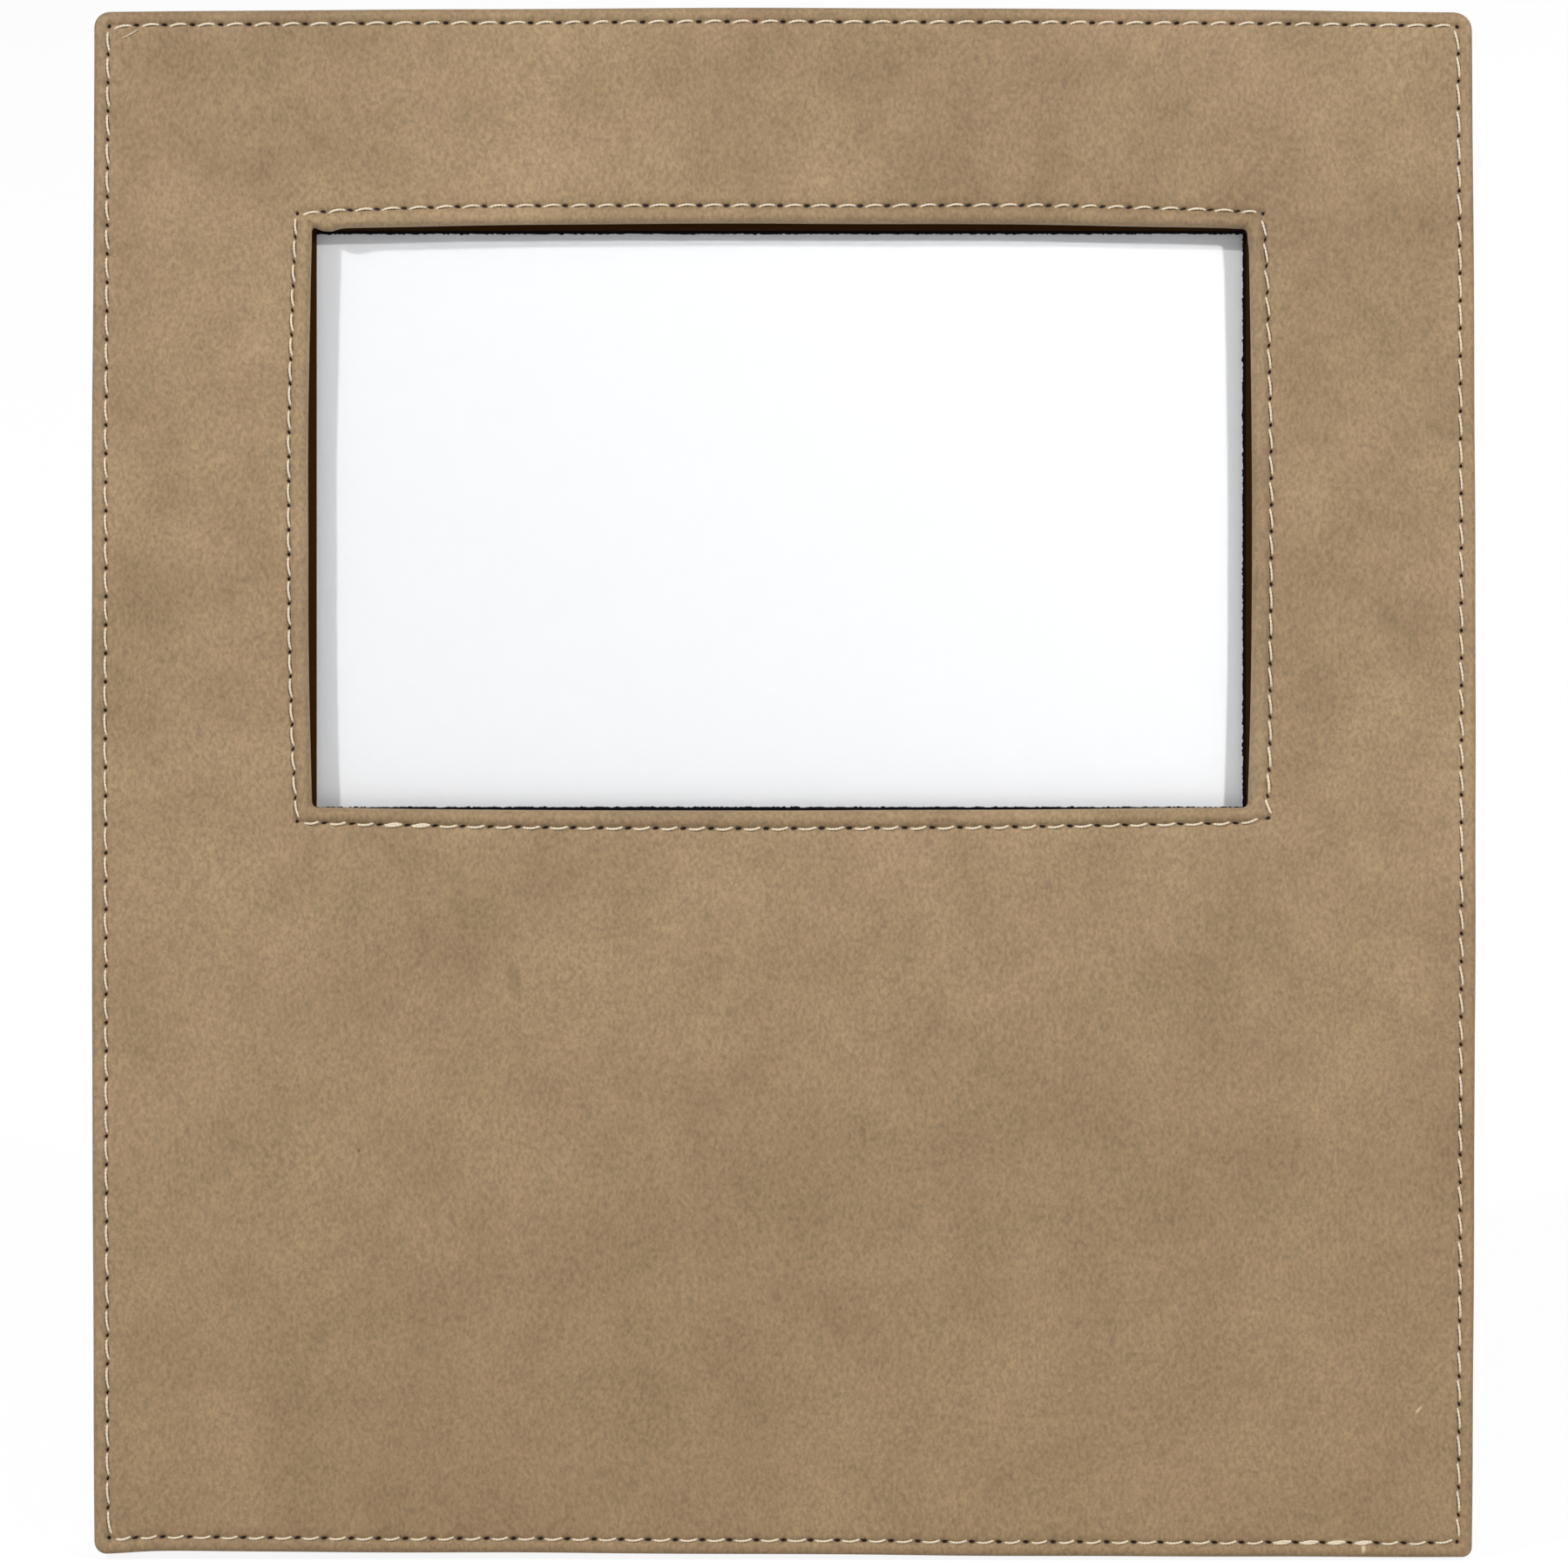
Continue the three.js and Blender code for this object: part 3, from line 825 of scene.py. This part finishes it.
@dataclass(frozen=True)
class FrontCover:
    """The leatherette front: a bead round the edge, a stitched groove, the flat, and the roll."""

    width: float = 215.9
    height: float = 241.3
    corners: FourFloats = (2.9, 2.5, 1.9, 1.5)
    bows: FourFloats = (0.6, 0.6, 0.45, 0.45)
    window_width: float = 147.1
    window_height: float = 91.2
    window_x: float = -0.5
    window_z: float = 161.9
    lip_bow: float = 0.6
    row_bow: float = 1.2
    row_corner: float = 0.45
    grid_mm: float = 3.5
    hem_rear_y: float = -5.54
    row_inset: float = 2.25
    row_outset: float = 2.35
    outer_stitches: FourInts = (55, 48, 53, 50)
    window_stitches: FourInts = (23, 36, 25, 35)
    edge_allowance: float = 0.5
    lip_allowance: float = 0.6
    lip_corner: float = 0.9
    groove_depth: float = 0.34
    hole_depth: float = 0.5
    pit_reach: float = 0.26
    pucker_reach: float = 0.9
    pucker_height: float = 0.07
    stray: float = 0.14
    stray_size: float = 26.0
    skew: float = 0.85
    skew_height: float = 110.0
    pulls: tuple[Pull, ...] = (
        Pull(-71.2, 207.6, 1.5, 1.5, 0.0, -0.6),
        Pull(-73.6, 207.6, 0.7, 0.7, -0.3, 0.5),
        Pull(71.6, 206.4, 1.2, 1.6, -0.5, -0.1),
        Pull(72.9, 208.0, 0.7, 0.7, 0.3, 0.4),
        Pull(76.0, 121.0, 1.7, 14.0, 0.6, 0.0),
        Pull(75.9, 114.3, 2.2, 2.0, 0.7, 0.7),
        Pull(-107.0, 0.0, 55.0, 30.0, 0.0, -0.5),
        Pull(-107.0, 0.0, 6.5, 5.0, 0.0, -0.65),
    )

    def outer_loop(self, inset: float) -> Loop:
        """The panel's outline moved in by inset."""
        ease = min(inset / self.row_inset, 1.0)
        radii = tuple(r + (self.row_corner - r) * ease for r in self.corners)
        shrink = self.edge_allowance + 2 * inset
        return Loop(
            self.width - shrink, self.height - shrink, 0.0, self.height / 2, radii, self.bows,
        )

    def window_loop(self, outset: float) -> Loop:
        """The window's outline moved out by outset."""
        ease = min(outset / self.row_outset, 1.0)
        bow = self.lip_bow + (self.row_bow - self.lip_bow) * ease
        radius = self.lip_corner + (self.row_corner - self.lip_corner) * ease
        growth = 2 * outset - self.lip_allowance
        return Loop(
            self.window_width + growth, self.window_height + growth,
            self.window_x, self.window_z, (radius,) * 4,
            (bow, bow + 0.25 * (1 - ease), bow, 0.75 * bow), (2.0, 2.0 + 2.0 * ease, 2.0, 2.0),
        )

    def outer_row(self) -> Row:
        """The stitched row round the outer edge."""
        return Row(self.outer_loop(self.row_inset), self.outer_stitches)

    def window_row(self) -> Row:
        """The stitched row round the window."""
        return Row(self.window_loop(self.row_outset), self.window_stitches)

    def outer_section(self) -> list[tuple[float, float]]:
        """Pairs of inset and height over the face, from inside the hem to the flat."""
        side = FACE_Y - self.hem_rear_y
        edge = [(6.0, side), (1.2, side), (0.5, side + 0.12), (0.12, side + 0.5), (0.0, -2.2),
                (0.0, -1.3)]
        bead = [(0.05, -0.75), (0.15, -0.4), (0.33, -0.14), (0.6, 0.04), (0.95, 0.14),
                (1.3, 0.12), (1.6, 0.03), (1.8, -0.09)]
        groove = [(1.95, -0.19), (2.1, -0.28), (self.row_inset, -self.groove_depth),
                  (2.4, -0.3), (2.55, -0.24), (2.75, -0.17), (3.05, -0.1), (3.5, -0.03),
                  (4.2, 0.0)]
        return edge + bead + groove

    def window_section(self) -> list[tuple[float, float]]:
        """Pairs of outset and height over the face, from the flat to inside the window's hem."""
        side = FACE_Y - self.hem_rear_y
        groove = [(5.6, -0.12), (4.6, -0.17), (3.8, -0.24), (3.3, -0.32), (2.95, -0.4),
                  (2.7, -0.5), (2.5, -0.58), (self.row_outset, -0.62), (2.2, -0.55)]
        roll = [(2.05, -0.36), (1.85, -0.13), (1.55, 0.11), (1.2, 0.22), (0.85, 0.17),
                (0.55, 0.0), (0.3, -0.28), (0.12, -0.62), (0.02, -1.1), (0.0, -1.8)]
        hem = [(0.02, side + 0.3), (0.3, side), (3.0, side)]
        return groove + roll + hem

    def relief(self, x: float, z: float) -> float:
        """The soft swell of the cover over its board.

        Args:
            x: Across the panel.
            z: Up the panel.

        Returns:
            Height over the face.
        """
        long_wave = noise.noise(Vector((x / 60, 3.1, z / 60)))
        short_wave = noise.noise(Vector((x / 17, 8.7, z / 17)))
        return 0.10 * long_wave + 0.035 * short_wave

    def wander(self, x: float, z: float) -> tuple[float, float]:
        """How far a hand-turned edge strays from its line.

        Args:
            x: Across the panel.
            z: Up the panel.

        Returns:
            The shift in x and in z.
        """
        size = self.stray_size
        shift_x = self.stray * noise.noise(Vector((x / size, 1.7, z / size)))
        shift_z = self.stray * noise.noise(Vector((x / size, 5.3, z / size)))
        shift_z -= self.skew * x / self.width * 2 * max(0.0, 1 - z / self.skew_height)
        for pull in self.pulls:
            near = pull.share(x, z)
            shift_x += pull.shift_x * near
            shift_z += pull.shift_z * near
        return shift_x, shift_z

    def lift(self, flat: np.ndarray, heights: np.ndarray) -> np.ndarray:
        """Turn points of the flat and their heights to the model's metres.

        Args:
            flat: Rows of x, z.
            heights: Heights over the face.

        Returns:
            Rows of x, y, z in metres.
        """
        rows = []
        for (x, z), height in zip(flat, heights):
            shift_x, shift_z = self.wander(x, z)
            rows.append((x + shift_x, FACE_Y - height - self.relief(x, z), z + shift_z))
        return PLANE.place(np.array(rows))

    def band(
        self, row: Row, loops: Sequence[Loop], heights: Sequence[float], centre: int, first: int,
    ) -> tuple[np.ndarray, Faces, np.ndarray, list[np.ndarray]]:
        """Loft a band through loops, with a pit at each needle hole.

        Args:
            row: The band's row of stitches.
            loops: The loops, in the order of the section.
            heights: The height of each loop.
            centre: The number of the loop on which the needle holes lie.
            first: The number of its first vertex in the mesh that it joins.

        Returns:
            Points in metres, faces, the needle attribute, and the flat points of each loop.
        """
        stations = row.stations()
        gaps = np.array([s.hole_gap / s.hole_length() for s in stations])
        phases = np.array([s.phase for s in stations])
        middle = round_loop(loops[centre], stations)
        flats, points, needles = [], [], []
        for loop, height in zip(loops, heights):
            flat = round_loop(loop, stations)
            away = np.linalg.norm(flat - middle, axis=1)
            pit = np.exp(-gaps ** 2) * np.exp(-(away / self.pit_reach) ** 2)
            pucker = np.cos(2 * math.pi * phases) * np.exp(-(away / self.pucker_reach) ** 2)
            drawn = self.pucker_height * pucker
            points.append(self.lift(flat, height - self.hole_depth * pit - drawn))
            needles.append(pit)
            flats.append(flat)
        count = len(stations)
        faces: Faces = []
        for ring in range(len(loops) - 1):
            for i in range(count):
                k = (i + 1) % count
                a, b = first + ring * count, first + (ring + 1) * count
                faces.append((a + i, a + k, b + k, b + i))
        return np.vstack(points), faces, np.concatenate(needles), flats

    def flat_faces(
        self, outer: np.ndarray, inner: np.ndarray,
    ) -> tuple[np.ndarray, Faces]:
        """Fill the flat between two loops with triangles.

        Args:
            outer: Rows of x, z round the outside.
            inner: Rows of x, z round the window.

        Returns:
            Rows of x, z, and the triangles.
        """
        low, high = outer.min(axis=0), outer.max(axis=0)
        hole_low, hole_high = inner.min(axis=0), inner.max(axis=0)
        margin = 0.6 * self.grid_mm
        grid = []
        for x in np.arange(low[0] + margin, high[0] - margin, self.grid_mm):
            for z in np.arange(low[1] + margin, high[1] - margin, self.grid_mm):
                clear_x = x < hole_low[0] - margin or x > hole_high[0] + margin
                clear_z = z < hole_low[1] - margin or z > hole_high[1] + margin
                if clear_x or clear_z:
                    grid.append((x, z))
        everything = [Vector(p) for p in (*outer, *inner, *grid)]
        split = len(outer)
        rings = [list(range(split)), list(range(split, split + len(inner)))[::-1]]
        found = delaunay_2d_cdt(everything, [], rings, 2, 1e-6)
        points = np.array([tuple(v) for v in found[0]])
        middles = [points[list(face)].mean(axis=0) for face in found[2]]
        inside = [
            face for face, (x, z) in zip(found[2], middles)
            if not (hole_low[0] + 1.5 < x < hole_high[0] - 1.5
                    and hole_low[1] + 1.5 < z < hole_high[1] - 1.5)
        ]
        return points, [tuple(face) for face in inside]

    def build(self) -> Piece:
        """Make the cover."""
        outer = self.outer_section()
        insets = [inset for inset, _ in outer]
        points, faces, needles, flats = self.band(
            self.outer_row(), [self.outer_loop(inset) for inset in insets],
            [height for _, height in outer], insets.index(self.row_inset), 0,
        )
        window = self.window_section()
        outsets = [outset for outset, _ in window]
        more, more_faces, more_needles, more_flats = self.band(
            self.window_row(), [self.window_loop(outset) for outset in outsets],
            [height for _, height in window], outsets.index(self.row_outset), len(points),
        )
        inner_edge = more_flats[0]
        flat, triangles = self.flat_faces(flats[-1], inner_edge)
        reach = np.min([np.linalg.norm(flat - q, axis=1) for q in inner_edge[::7]], axis=0)
        first = len(points) + len(more)
        dip = window[0][1] * np.exp(-reach / 5.0)
        lifted = self.lift(flat, dip)
        edge_points = np.vstack([points[-len(flats[-1]):], more[:len(inner_edge)]])
        edge_flats = np.vstack([flats[-1], inner_edge])
        for index, place in enumerate(flat):
            nearest = int(np.argmin(np.abs(edge_flats - place).sum(axis=1)))
            if np.abs(edge_flats[nearest] - place).sum() < 1e-4:
                lifted[index] = edge_points[nearest]
        everything = np.vstack([points, more, lifted])
        all_faces = faces + more_faces
        all_faces += [tuple(first + number for number in face) for face in triangles]
        # the needle pits are also the mask for the painted shade in the holes
        marks = np.concatenate([needles, more_needles, np.zeros(len(flat))])
        return build_mesh("leatherette_cover", everything, all_faces, ("needle", marks))


@dataclass(frozen=True)
class Stitching:
    """A row of stitches in two-ply thread, each from one needle hole to the next."""

    name: str
    row: Row
    cover: FrontCover
    floor: float
    tacked: tuple[float, float] = (0.0, 0.0)
    ply_radius: float = 0.11
    twist_radius: float = 0.1
    steps: int = 15
    slants: FourFloats = (0.46, 0.3, 0.3, 0.3)
    swings: FourFloats = (0.1, 0.26, 0.2, 0.26)
    hidden: FourFloats = (0.09, 0.16, 0.09, 0.16)
    turns: float = 3.0
    sink: float = 0.3
    crown: float = 0.34
    tack_swell: float = 1.35

    def stitch_paths(
        self, start: np.ndarray, end: np.ndarray, side: Side, seed: int,
    ) -> list[np.ndarray]:
        """The two plies of a stitch, in panel millimetres.

        Args:
            start: The x, z of the needle hole where it comes up.
            end: The x, z of the needle hole where it goes down.
            side: The side that it runs along.
            seed: A number that varies one stitch from the next.

        Returns:
            One path for each ply.
        """
        share = np.linspace(0.0, 1.0, self.steps)
        run = end - start
        length = np.linalg.norm(run)
        run = run / length
        outward = np.array([run[1], -run[0]])
        vary = noise.noise(Vector((seed * 0.37, 2.2, 0.5)))
        hidden = self.hidden[side.value] * (1 + 0.3 * vary)
        along = hidden * length + (1 - 2 * hidden) * length * share
        swing, slant = self.swings[side.value], self.slants[side.value]
        lateral = swing * np.sin(math.pi * share) + slant * (1 + 0.6 * vary) * (0.5 - share)
        lateral -= 0.4 * swing
        rise = np.sin(math.pi * share) ** 0.5
        height = self.floor - self.sink + (self.sink + self.crown + 0.05 * vary) * rise
        flat = start + along[:, None] * run + lateral[:, None] * outward
        twist = 2 * math.pi * self.turns * share + seed
        paths = []
        for half_turn in (0.0, math.pi):
            aside = self.twist_radius * np.cos(twist + half_turn)
            above = self.twist_radius * np.sin(twist + half_turn)
            moved = flat + aside[:, None] * outward
            paths.append(np.column_stack([moved[:, 0], FACE_Y - height - above, moved[:, 1]]))
        return paths

    def build(self) -> Piece:
        """Make the row of stitches."""
        holes = self.row.holes()
        points: list[np.ndarray] = []
        faces: Faces = []
        total = 0
        for index, (start, side) in enumerate(holes):
            end = holes[(index + 1) % len(holes)][0]
            paths = self.stitch_paths(start, end, side, index)
            is_tack = side is Side.BOTTOM and self.tacked[0] < start[0] < self.tacked[1]
            if is_tack:
                paths += self.stitch_paths(end, start, Side.TOP, index + 50)
            for path in paths:
                thickness = self.tack_swell if is_tack else 1.0
                radii = np.full(len(path), self.ply_radius * thickness)
                radii[[0, -1]] *= 0.45
                radii[[1, -2]] *= 0.8
                ring, ring_faces = Tube(path, radii).mesh(total)
                points.append(ring)
                faces += ring_faces
                total += len(ring)
        placed = np.vstack(points)
        for point in placed:
            shift_x, shift_z = self.cover.wander(point[0], point[2])
            point += (shift_x, -self.cover.relief(point[0], point[2]), shift_z)
        return build_mesh(self.name, PLANE.place(placed), faces, weld=1e-9)


@dataclass(frozen=True)
class LinerFringe:
    """The frayed paper fibres along the cut edge of the window liner."""

    left: float = -73.05
    right: float = 72.05
    bottom: float = 116.6
    top: float = 206.5
    front_y: float = -5.5
    tuck: float = 0.4
    reach: float = 0.24
    step: float = 0.16

    def side(
        self, start: tuple[float, float], end: tuple[float, float], first: int,
    ) -> tuple[list[tuple[float, float, float]], Faces]:
        """Give one frayed side.

        Args:
            start: The x, z where it starts; the opening is to the left of its run.
            end: The x, z where it ends.
            first: The number of its first vertex.

        Returns:
            Points in panel millimetres, and faces.
        """
        run = np.array(end) - np.array(start)
        length = float(np.linalg.norm(run))
        run = run / length
        inward = np.array([-run[1], run[0]])
        count = int(length / self.step)
        points, faces = [], []
        for index in range(count + 1):
            base = np.array(start) + run * length * index / count
            fray = noise.noise(Vector((base[0] * 3.1, 4.4, base[1] * 3.1)))
            fray += 0.6 * noise.noise(Vector((base[0] * 9.0, 7.1, base[1] * 9.0)))
            inner = base + inward * self.reach * max(0.05, 0.5 + 0.8 * fray)
            outer = base - inward * self.tuck
            points.append((outer[0], self.front_y, outer[1]))
            points.append((inner[0], self.front_y, inner[1]))
            if index:
                a = first + 2 * index
                faces.append((a - 2, a - 1, a + 1, a))
        return points, faces

    def build(self) -> Piece:
        """Make the frayed edges along the bottom, the right and the top."""
        corners = [(self.left, self.bottom), (self.right, self.bottom),
                   (self.right, self.top), (self.left, self.top)]
        points: list[tuple[float, float, float]] = []
        faces: Faces = []
        for index, start in enumerate(corners[:-1]):
            more, more_faces = self.side(start, corners[(index + 1) % 4], len(points))
            points += more
            faces += more_faces
        return build_mesh("liner_fringe", PLANE.place(np.array(points)), faces, weld=1e-9)


@dataclass(frozen=True)
class LooseFibre:
    """A short end of thread that lies on the face by the top left corner."""

    start: tuple[float, float] = (-103.3, 236.9)
    end: tuple[float, float] = (-100.9, 238.25)
    radius: float = 0.07
    rest: float = 0.12
    sag: float = 0.12
    steps: int = 9

    def build(self) -> Piece:
        """Make the fibre."""
        share = np.linspace(0.0, 1.0, self.steps)
        x = self.start[0] + (self.end[0] - self.start[0]) * share
        z = self.start[1] + (self.end[1] - self.start[1]) * share
        z -= self.sag * np.sin(math.pi * share)
        path = np.column_stack([x, np.full(self.steps, FACE_Y - self.rest), z])
        radii = self.radius * (0.35 + 0.65 * np.sin(math.pi * (0.1 + 0.8 * share)))
        points, faces = Tube(path, radii).mesh(0)
        return build_mesh("loose_fibre", PLANE.place(points), faces, weld=1e-9)


@dataclass(frozen=True)
class Studio:
    """A pale floor, a white surround, two lamps in front and a soft one behind."""

    span_mm: float = 245.06
    view_x_mm: float = 0.14
    view_z_mm: float = 120.3
    distance: float = 1.8
    sensor_mm: float = 36.0
    lit_z_mm: float = 130.0
    floor_size: float = 14.0
    floor_glow: float = 1.06
    floor_share: float = 0.86
    ambient: float = 0.14
    reflected: float = 0.35

    def target(self, x_mm: float, z_mm: float) -> Vector:
        """A point on the face, in metres."""
        return Vector(PLANE.place(np.array([[x_mm, FACE_Y, z_mm]]))[0])

    def add_camera(self) -> None:
        """Set the camera square on to the leaning face."""
        data = bpy.data.cameras.new("camera")
        data.sensor_width = self.sensor_mm
        data.lens = self.sensor_mm * self.distance / (self.span_mm * MM)
        data.clip_end = 50.0
        camera = bpy.data.objects.new("camera", data)
        camera.location = self.target(self.view_x_mm, self.view_z_mm) + PLANE.normal() * self.distance
        camera.rotation_euler = (math.pi / 2 - PLANE.lean, 0.0, 0.0)
        bpy.context.scene.collection.objects.link(camera)
        bpy.context.scene.camera = camera

    def add_lamp(
        self, name: str, way: tuple[float, float, float], distance: float, size: float,
        share: float,
    ) -> None:
        """Add a square lamp that lights the face by a share of white.

        Args:
            name: The lamp's name.
            way: The way to it from the window, across, out of the face, and up the panel.
            distance: How far off it is, in metres.
            size: Its side, in metres.
            share: The share of white that it gives a white card on the face.
        """
        across, out, up = way
        length = math.sqrt(across ** 2 + out ** 2 + up ** 2)
        normal = PLANE.normal()
        upward = Vector((0.0, math.sin(PLANE.lean), math.cos(PLANE.lean)))
        ray = (Vector((across, 0.0, 0.0)) + normal * out + upward * up) / length
        data = bpy.data.lights.new(name, "AREA")
        data.size = size
        data.energy = share * math.pi ** 2 * distance ** 2 / max(abs(out) / length, 0.2)
        lamp = bpy.data.objects.new(name, data)
        lamp.location = self.target(0.0, self.lit_z_mm) + ray * distance
        lamp.rotation_euler = ray.to_track_quat("Z", "Y").to_euler()
        bpy.context.scene.collection.objects.link(lamp)

    def add_world(self) -> None:
        """Surround the scene with white for the camera and a dimmer light for surfaces."""
        world = bpy.data.worlds.new("surround")
        world.use_nodes = True
        tree = world.node_tree
        tree.nodes.clear()
        rays = add_node(tree, "LightPath")
        seen = add_node(
            tree, "Math",
            {0: rays.outputs["Is Camera Ray"], 1: rays.outputs["Is Transmission Ray"]},
            operation="MAXIMUM",
        )
        strength = add_node(
            tree, "MapRange", {"To Min": self.ambient, "To Max": 1.0, "Value": seen.outputs[0]},
        )
        mirrored = add_node(
            tree, "Math",
            {1: self.reflected, 0: rays.outputs["Is Glossy Ray"]},
            operation="MULTIPLY",
        )
        both = add_node(
            tree, "Math", {0: strength.outputs[0], 1: mirrored.outputs[0]}, operation="MAXIMUM",
        )
        tint = add_node(
            tree, "Mix",
            {6: linear_colour("e9f0ff"), 7: (1.0, 1.0, 1.0, 1.0), 0: seen.outputs[0]},
            data_type="RGBA",
        )
        light = add_node(
            tree, "Background", {"Color": tint.outputs[2], "Strength": both.outputs[0]},
        )
        add_node(tree, "OutputWorld", {"Surface": light.outputs[0]})
        bpy.context.scene.world = world

    def add_floor(self) -> None:
        """Lay a pale floor that is near white to the camera and keeps the shadow."""
        half = self.floor_size / 2
        corners = np.array([[-half, -half, 0], [half, -half, 0], [half, half, 0], [-half, half, 0]])
        floor = build_mesh("floor", corners.astype(float), [(0, 1, 2, 3)])
        material, tree = new_material("pale_floor")
        where = add_node(tree, "TexCoord").outputs["Object"]
        mottle = add_node(tree, "TexNoise", {"Scale": 3.0, "Vector": where})
        colour = add_node(
            tree, "Mix",
            {6: linear_colour("e9e9e8"), 7: linear_colour("ededec"), 0: mottle.outputs["Fac"]},
            data_type="RGBA",
        )
        matt = add_node(tree, "BsdfPrincipled", {"Roughness": 0.9, "Base Color": colour.outputs[2]})
        glow = add_node(tree, "Emission", {"Strength": self.floor_glow})
        rays = add_node(tree, "LightPath")
        share = add_node(
            tree, "Math",
            {1: self.floor_share, 0: rays.outputs["Is Camera Ray"]},
            operation="MULTIPLY",
        )
        mixed = add_node(
            tree, "MixShader", {0: share.outputs[0], 1: matt.outputs[0], 2: glow.outputs[0]},
        )
        add_node(tree, "OutputMaterial", {"Surface": mixed.outputs[0]})
        floor.data.materials.append(material)

    def build(self) -> None:
        """Set up the camera, the floor, the surround and the lamps."""
        bpy.context.scene.view_settings.view_transform = "Standard"
        self.add_camera()
        self.add_world()
        self.add_floor()
        self.add_lamp("lamp_left", (-1.07, 1.0, 0.86), 2.0, 0.09, 0.4)
        self.add_lamp("lamp_right", (0.92, 1.0, 0.66), 2.0, 0.09, 0.4)
        self.add_lamp("lamp_back", (0.6, -1.0, 1.1), 2.2, 1.6, 0.22)


def dress_node(name: str, material: Material) -> None:
    """Give a node of the model its finish.

    Args:
        name: The node's name.
        material: The finish.
    """
    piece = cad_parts[name]
    piece.data.materials.clear()
    piece.data.materials.append(material)
    LOG.info("%s dressed as %s", name, material.name)


def main() -> None:
    """Build the pieces in order and dress the nodes that stay."""
    logging.basicConfig(level=logging.INFO, format="%(message)s")
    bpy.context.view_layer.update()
    Studio().build()
    cover = FrontCover()
    leather = LeatheretteFinish().build()
    thread = ThreadFinish().build()
    velour = VelourFinish().build()
    nickel = NickelFinish().build()
    black_card = CardFinish("liner_card", "44290c", "241505", 0.3, gloss=0.05).build()
    white_card = CardFinish("print_card", "fafafa", "f4f4f5", 0.8, 0.75, 0.008).build()
    edge_board = CardFinish("blackened_board", "2b2926", "1a1917", 0.5).build()

    front = cover.build()
    front.data.materials.append(leather)
    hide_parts("face_leatherette")
    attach(front, PANEL_BODY)
    LOG.info("leatherette_cover has %d faces", len(front.data.polygons))

    rows = (("outer_stitches", cover.outer_row(), "outer_stitching", -0.36, (75.0, 90.0)),
            ("window_stitches", cover.window_row(), "window_stitching", -0.6, (-66.0, -57.0)))
    for name, row, node, floor, tacked in rows:
        stitches = Stitching(name, row, cover, floor, tacked).build()
        stitches.data.materials.append(thread)
        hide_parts(node)
        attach(stitches, PANEL_BODY)
        LOG.info("%s has %d faces", name, len(stitches.data.polygons))

    fringe = LinerFringe().build()
    frayed = CardFinish("frayed_card_edge", "0c0912", "050407", 0.3, gloss=0.1).build()
    fringe.data.materials.append(frayed)
    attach(fringe, PANEL_BODY)
    fibre = LooseFibre().build()
    fibre.data.materials.append(thread)
    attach(fibre, PANEL_BODY)

    for name in ("front_board", "spacer_left", "spacer_right", "spacer_bottom", "back_board"):
        dress_node(name, edge_board)
    dress_node("leg_board", edge_board)
    dress_node("window_liner", black_card)
    dress_node("insert_card", white_card)
    dress_node("clear_sheet", ClearSheetFinish().build())
    for name in ("back_lining", "leg_lining"):
        dress_node(name, velour)
    metal = ["hinge_back_leaf", "hinge_leg_leaf", "hinge_pin"]
    metal += [f"{side}_rivet_{number}" for side in ("back", "leg") for number in (1, 2)]
    for name in metal:
        dress_node(name, nickel)


if __name__ == "__main__":
    main()
